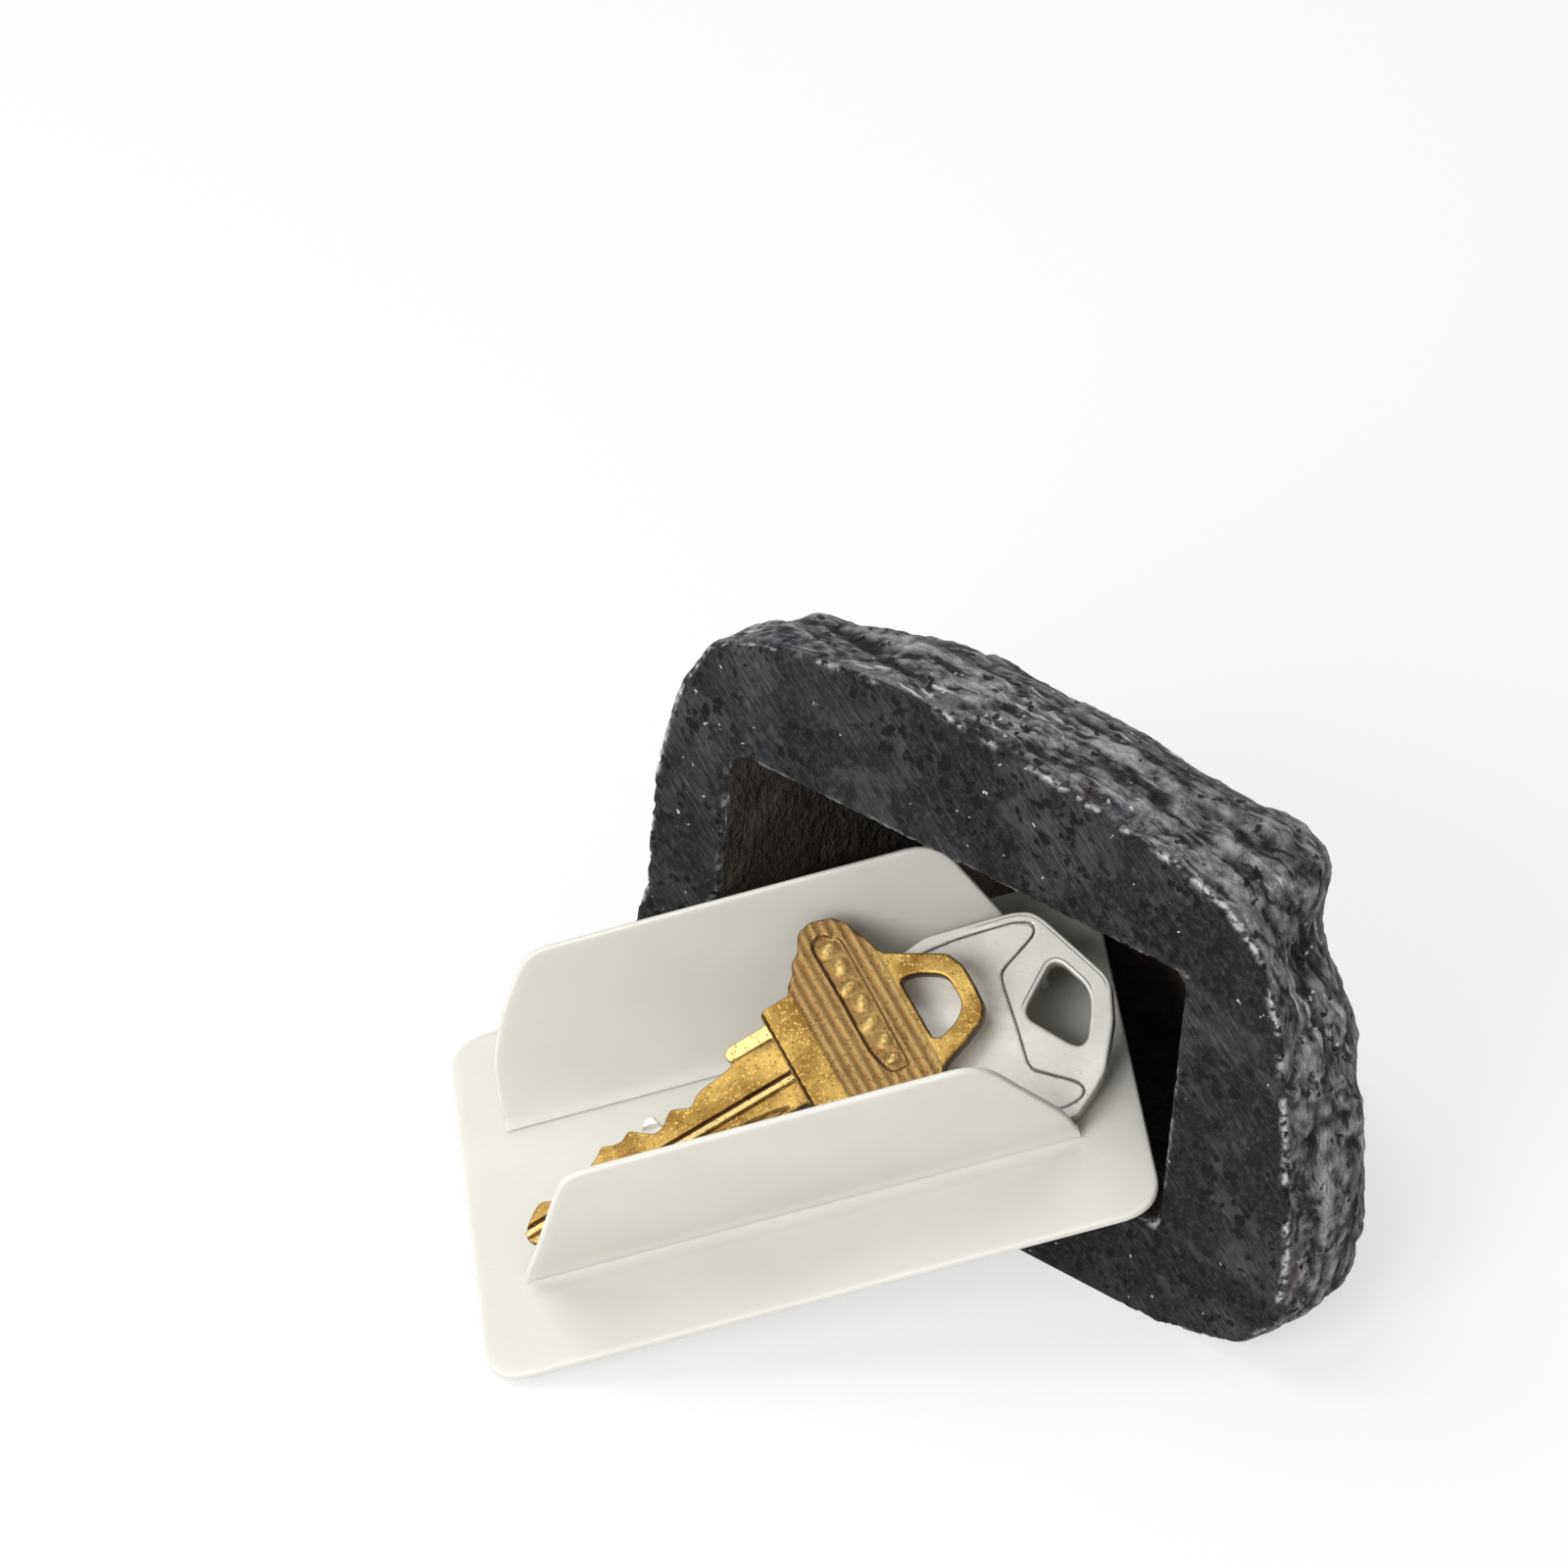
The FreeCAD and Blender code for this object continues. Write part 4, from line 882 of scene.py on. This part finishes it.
brassLook = {
    "seat": {"at": (-8.641, -7.86, 20.726),
             "axes": [(0.504639, 0.759007, 0.411398), (-0.848998, 0.349824, 0.396012)]},
    "thick": 2.1, "edgeRound": 0.32, "underRound": 0.3, "gap": 0.2, "rings": (0.05, 0.12, 0.22, 0.32),
    "outlineCut": 0.5, "holeCut": 1.3, "panelCut": 0.6, "leafCut": 1.2,
    "bow": [(22.2, 0.5), (21.3, 2.6), (17.6, 4.9), (15.2, 6.4)],
    "shoulder": [(14.3, 9.0), (13.4, 11.5), (12.3, 12.9), (9.8, 13.8), (8.0, 13.3), (7.1, 11.5), (5.7, 10.6),
                 (5.3, 9.4), (4.2, 8.7), (3.9, 7.7), (0.5, 7.7), (0.0, 7.2)],
    "tab": [(0.0, 6.1), (-5.0, 6.1), (-5.6, 5.5), (-5.6, 4.9), (-5.3, 4.4)],
    "cuts": [(-6.0, 4.0), (-8.0, 3.75), (-10.1, 3.5), (-11.7, 2.4), (-12.6, 2.9), (-13.8, 3.4),
             (-14.6, 2.8), (-15.4, 2.1), (-16.5, 1.9), (-17.6, 2.7), (-18.9, 3.8), (-20.1, 3.1),
             (-21.1, 3.2), (-22.4, 3.8), (-23.7, 2.8), (-25.0, 2.4), (-26.4, 2.8), (-27.4, 1.6),
             (-29.4, 1.0), (-31.2, 1.9), (-32.4, 1.3), (-34.4, -0.3), (-34.4, -1.6), (-31.4, -4.0),
             (0.0, -4.0)],
    "bowNear": [(15.2, -8.2), (18.4, -7.2), (20.9, -6.1), (22.0, -4.7), (22.2, -2.1)],
    "hole": [(15.3, 2.85), (17.4, 2.3), (20.1, 0.5), (20.1, -3.3), (18.5, -4.7), (15.3, -5.55)],
    "panel": [(8.5, 10.9), (9.3, 11.8), (10.3, 11.8), (12.0, 10.2), (12.0, 4.0), (11.7, -6.4), (9.4, -6.0),
              (8.5, -2.6), (8.6, 4.0)],
    # soft swells along the worn panel, not to be read: where, and how wide and long
    "swells": [(10.2, 10.0, 1.0, 0.8), (10.5, 7.6, 0.8, 1.0), (10.1, 5.0, 1.1, 0.7), (10.6, 2.8, 0.8, 0.9),
               (10.1, 0.2, 1.1, 0.8), (10.7, -2.2, 0.8, 0.8), (10.4, -4.6, 0.9, 0.7)],
    "leaf": [(-0.9, -3.6), (-2.6, -2.9), (-4.6, -2.5), (-7.0, -2.3), (-10.4, -2.2), (-14.0, -2.0),
             (-10.4, -3.2), (-7.0, -3.7), (-4.0, -3.8)],
    # each pair is where an edge starts and where it ends
    "bladeFrom": (-0.12, 0.0), "bladeDrop": 0.34,
    "tabAbove": (4.35, 4.5), "tabFrom": (-5.7, -5.6), "tabRise": 0.8,
    "barFrom": (4.0, 4.3), "barTo": (14.6, 15.1), "ribHigh": 0.14, "ribFrom": 4.9, "ribGap": 1.2,
    "panelDeep": 0.42, "panelEdge": (-0.3, 0.1), "swellHigh": 0.36, "leafDeep": 0.4, "leafEdge": (-0.45, 0.0),
    "grooveAt": -0.05, "grooveDeep": 0.4, "grooveEdge": (0.1, 0.24), "grooveSlope": 0.012, "grooveBend": -6.0,
    "secondAt": -1.15, "secondDeep": 0.2, "secondEdge": (0.08, 0.2),
    "railAt": -0.6, "railHigh": 0.08, "railEdge": (0.2, 0.4),
    "collarAt": 0.28, "collarHalf": 7.4, "collarDeep": 0.22, "collarEdge": (0.05, 0.16),
    "fineStrips": [(-33.8, -0.3, 0.3, -1.5, 0.5, 0.1), (0.02, 0.6, 0.09, -7.3, 7.3, 0.3)],
    # how strongly each part takes the painted shade, the painted highlight and the brown paint
    "darkShares": {"wall": 0.9, "border": 0.45, "groove": 0.95, "second": 0.5, "collar": 0.9, "underTab": 0.7,
                   "ribs": 0.3, "panel": 0.1},
    "brightShares": {"tab": 0.9, "rail": 0.75, "shoulder": 0.5, "ribs": 0.16, "swells": 0.16},
    "brownLeaf": 0.8, "brownSwell": 0.5,
    "wallEdge": (0.0, 0.09), "borderWide": 0.16, "collarShade": (0.05, 0.18),
    "shoulderAt": -0.05, "shoulderEdge": (0.05, 0.2), "underTabRise": (3.0, 4.4), "underTabRun": (-4.6, -0.2),
    # line is the tone of the painted shade; the pale tone after brownPale is the painted highlight's
    "tones": {
        "cloudDark": (128, 94, 38), "cloudPale": (184, 152, 82), "glint": (222, 188, 114),
        "brownDark": (112, 86, 50), "brownPale": (124, 96, 58), "bright": (236, 214, 146),
        "grain": (92, 58, 20), "line": (52, 30, 16),
    },
}


def brassFinish():
    material, tree, shader = newMaterial("wornBrass")
    paint = paints(brassLook)
    cloud = mottled(tree, Size=0.006, Detail=2.0, Low=0.3, High=0.7, Shift=0.19)
    colour = blend(tree, cloud, paint.cloudDark, paint.cloudPale)
    glint = specked(tree, Size=0.00036, Radius=0.5, Share=0.4, Shift=0.33)
    brown = mottled(tree, Size=0.006, Detail=2.0, Low=0.3, High=0.7, Shift=0.63)
    brownTone = blend(tree, brown, paint.brownDark, paint.brownPale)
    grain = specked(tree, Size=0.0004, Radius=0.5, Share=0.4, Shift=0.8)
    # the bright mask is a painted highlight and the dark mask painted shade, both laid by the shape of the
    # key
    colour = coats(
        tree, colour, (glint, 0.5, paint.glint), (maskOf(tree, "brown"), 0.85, brownTone),
        (maskOf(tree, "bright"), 0.8, paint.bright), (grain, 0.5, paint.grain),
        (maskOf(tree, "dark"), 1.0, paint.line))
    relief = weighed(tree, 0.0, (glint, 0.5), (grain, -0.8))
    bump = bumpOf(tree, strength=0.4, distance=0.00012, height=relief)
    feed(tree, shader, {
        "Base Color": colour, "Metallic": 0.85, "Roughness": weighed(tree, 0.3, (cloud, 0.14)),
        "Normal": bump})
    return material


def makeBrassKey():
    look = SimpleNamespace(**brassLook)
    sides = look.bow + look.shoulder + look.tab + look.cuts + mirrored(look.shoulder) + look.bowNear
    outline = smoothCorners(sides, look.outlineCut, steps=3)
    hole = smoothCorners(look.hole, look.holeCut, steps=4)
    panel = smoothCorners(look.panel, look.panelCut, steps=3)
    leaf = smoothCorners(look.leaf, look.leafCut, steps=3)

    def zones(spot):
        x, y = spot[:, 0], spot[:, 1]
        blade = 1.0 - step(x, *look.bladeFrom)
        sway = look.grooveSlope * x * (x > look.grooveBend)
        return {
            "blade": blade,
            "tab": blade * step(y, *look.tabAbove) * step(x, *look.tabFrom),
            "bar": step(x, *look.barFrom) * (1.0 - step(x, *look.barTo)),
            "panel": 1.0 - step(outlineGap(spot, panel), *look.panelEdge),
            "groove": blade * band(y + sway, look.grooveAt, look.grooveEdge),
            "second": blade * band(y, look.secondAt, look.secondEdge),
            "rail": blade * band(y, look.railAt, look.railEdge),
            "leaf": blade * (1.0 - step(outlineGap(spot, leaf), *look.leafEdge)),
        }

    def ribs(spot):
        # from 1 on top of a rib to 0 between two
        return 0.5 + 0.5 * np.cos(2.0 * math.pi * (spot[:, 0] - look.ribFrom) / look.ribGap)

    def swells(spot):
        swell = np.zeros(len(spot))
        for x, y, wide, long in look.swells:
            away = np.hypot((spot[:, 0] - x) / wide, (spot[:, 1] - y) / long)
            swell = np.maximum(swell, np.exp(-away ** 3))
        return swell

    def collar(spot, edge):
        return band(spot[:, 0], look.collarAt, edge) * (np.abs(spot[:, 1]) < look.collarHalf)

    def top(spot, inward):
        on = zones(spot)
        height = look.thick - rounding(inward, look.edgeRound)
        height -= look.bladeDrop * on["blade"] * (1.0 - look.tabRise * on["tab"])
        height -= look.ribHigh * (1.0 - ribs(spot)) * on["bar"] * (1.0 - on["panel"])
        height -= (look.panelDeep - look.swellHigh * swells(spot)) * on["panel"] * on["bar"]
        height -= look.grooveDeep * on["groove"] + look.secondDeep * on["second"]
        height += look.railHigh * on["rail"]
        height -= look.leafDeep * on["leaf"] + look.collarDeep * collar(spot, look.collarEdge)
        return height

    fine = [(x, y) for x0, x1, gapX, y0, y1, gapY in look.fineStrips
            for x in np.arange(x0, x1, gapX) for y in np.arange(y0, y1, gapY)]
    under = roundedUnderside(look.underRound)
    mesh, spot, inward, isTop = reliefPiece("brassKey", look, outline, [hole], top, under, fine)

    on = zones(spot)
    x, y = spot[:, 0], spot[:, 1]
    rib, swell = ribs(spot), swells(spot)
    onBlade = on["blade"] * (1.0 - on["tab"])
    ribbed = on["bar"] * (1.0 - on["panel"])
    wall = 1.0 - step(inward, *look.wallEdge)
    # painted shade: on the walls, along the panel's border, in the grooves and the collar line, a painted
    # shadow under the tab, between the ribs and on the panel between its swells
    shades = {
        "wall": wall,
        "border": np.exp(-(outlineGap(spot, panel) / look.borderWide) ** 2),
        "groove": on["groove"],
        "second": on["second"],
        "collar": collar(spot, look.collarShade),
        "underTab": onBlade * step(y, *look.underTabRise) * step(x, *look.underTabRun),
        "ribs": ribbed * (1.0 - rib) ** 3,
        "panel": on["panel"] * (1.0 - swell),
    }
    # painted highlights: on the tab, the rail, the shoulder, the rib crests and the swells
    lights = {
        "tab": on["tab"],
        "rail": on["rail"],
        "shoulder": band(x, look.shoulderAt, look.shoulderEdge),
        "ribs": ribbed * rib ** 4,
        "swells": on["bar"] * on["panel"] * swell,
    }
    dark = np.maximum.reduce([look.darkShares[name] * shade for name, shade in shades.items()])
    setMasks(mesh, {
        "dark": np.where(isTop, dark, look.darkShares["wall"] * wall),
        "brown": on["bar"] * (1.0 - look.brownSwell * on["panel"] * swell) + look.brownLeaf * on["leaf"],
        "bright": sum(look.brightShares[name] * light for name, light in lights.items()),
    })
    setDown("brassKey", mesh, look.seat, "brass_key", "brass_key", brassFinish())


makeBrassKey()


# floor, light and camera

studio = {
    "cameraAt": (0.283627, -0.399887, 0.491989), "azimuth": 36.843, "elevation": 41.238, "lens": 141.52,
    "sensor": 36.0, "clip": (0.01, 20.0),
    "floorHalf": 3.0, "floorColour": (0.93, 0.93, 0.93, 1.0), "floorRough": 0.9, "floorGlow": 0.62,
    "white": (1.0, 1.0, 1.0, 1.0), "worldLevel": 0.43,
    "keyPower": 3.4, "keySize": 0.5, "keyAt": (-0.30, 0.02, 0.88),
    "fillPower": 7.0, "fillSize": 0.6, "fillAt": (-0.05, -0.85, 0.50), "aim": (0.0, 0.0, 0.02),
}


def seenRays(tree):
    # 1 where the camera or a mirror image looks straight at it
    rays = place(tree, "LightPath")
    return sums(tree, "MAXIMUM", rays["Is Camera Ray"], rays["Is Glossy Ray"])


def makeFloor():
    half = studio["floorHalf"]
    ground = bpy.data.meshes.new("floor")
    corners = [(-half, -half, 0), (half, -half, 0), (half, half, 0), (-half, half, 0)]
    ground.from_pydata(corners, [], [(0, 1, 2, 3)])
    floor = added("floor", ground)
    material, tree, shader = newMaterial("paleFloor")
    feed(tree, shader, {
        "Base Color": studio["floorColour"], "Roughness": studio["floorRough"], "Specular IOR Level": 0.0})
    glow = wire(tree, "Emission", {"Color": studio["white"], "Strength": 1.0})
    share = times(tree, seenRays(tree), studio["floorGlow"])
    both = wire(tree, "MixShader", {0: share, 1: shader.outputs[0], 2: glow})
    feed(tree, tree.nodes["Material Output"], {"Surface": both})
    ground.materials.append(material)


def makeSky():
    world = bpy.data.worlds.new("studio")
    scene.world = world
    world.use_nodes = True
    sky = world.node_tree
    level = wire(sky, "MapRange", {0: seenRays(sky), 3: studio["worldLevel"], 4: 1.0})
    feed(sky, sky.nodes["Background"], {"Color": studio["white"], "Strength": level})


def makeLamps():
    for name in ("key", "fill"):
        lamp = bpy.data.lights.new(name, "AREA")
        lamp.energy = studio[name + "Power"]
        lamp.size = studio[name + "Size"]
        holder = added(name, lamp)
        holder.location = studio[name + "At"]
        holder.rotation_euler = (Vector(studio["aim"]) - holder.location).to_track_quat("-Z", "Y").to_euler()


def makeCamera():
    eye = bpy.data.cameras.new("camera")
    eye.lens = studio["lens"]
    eye.sensor_width = studio["sensor"]
    eye.clip_start, eye.clip_end = studio["clip"]
    holder = added("camera", eye)
    holder.location = studio["cameraAt"]
    holder.rotation_euler = (math.radians(90.0 - studio["elevation"]), 0.0, math.radians(studio["azimuth"]))
    scene.camera = holder


makeFloor()
makeSky()
makeLamps()
makeCamera()
scene.view_settings.view_transform = "Standard"
print("stage: studio and camera")
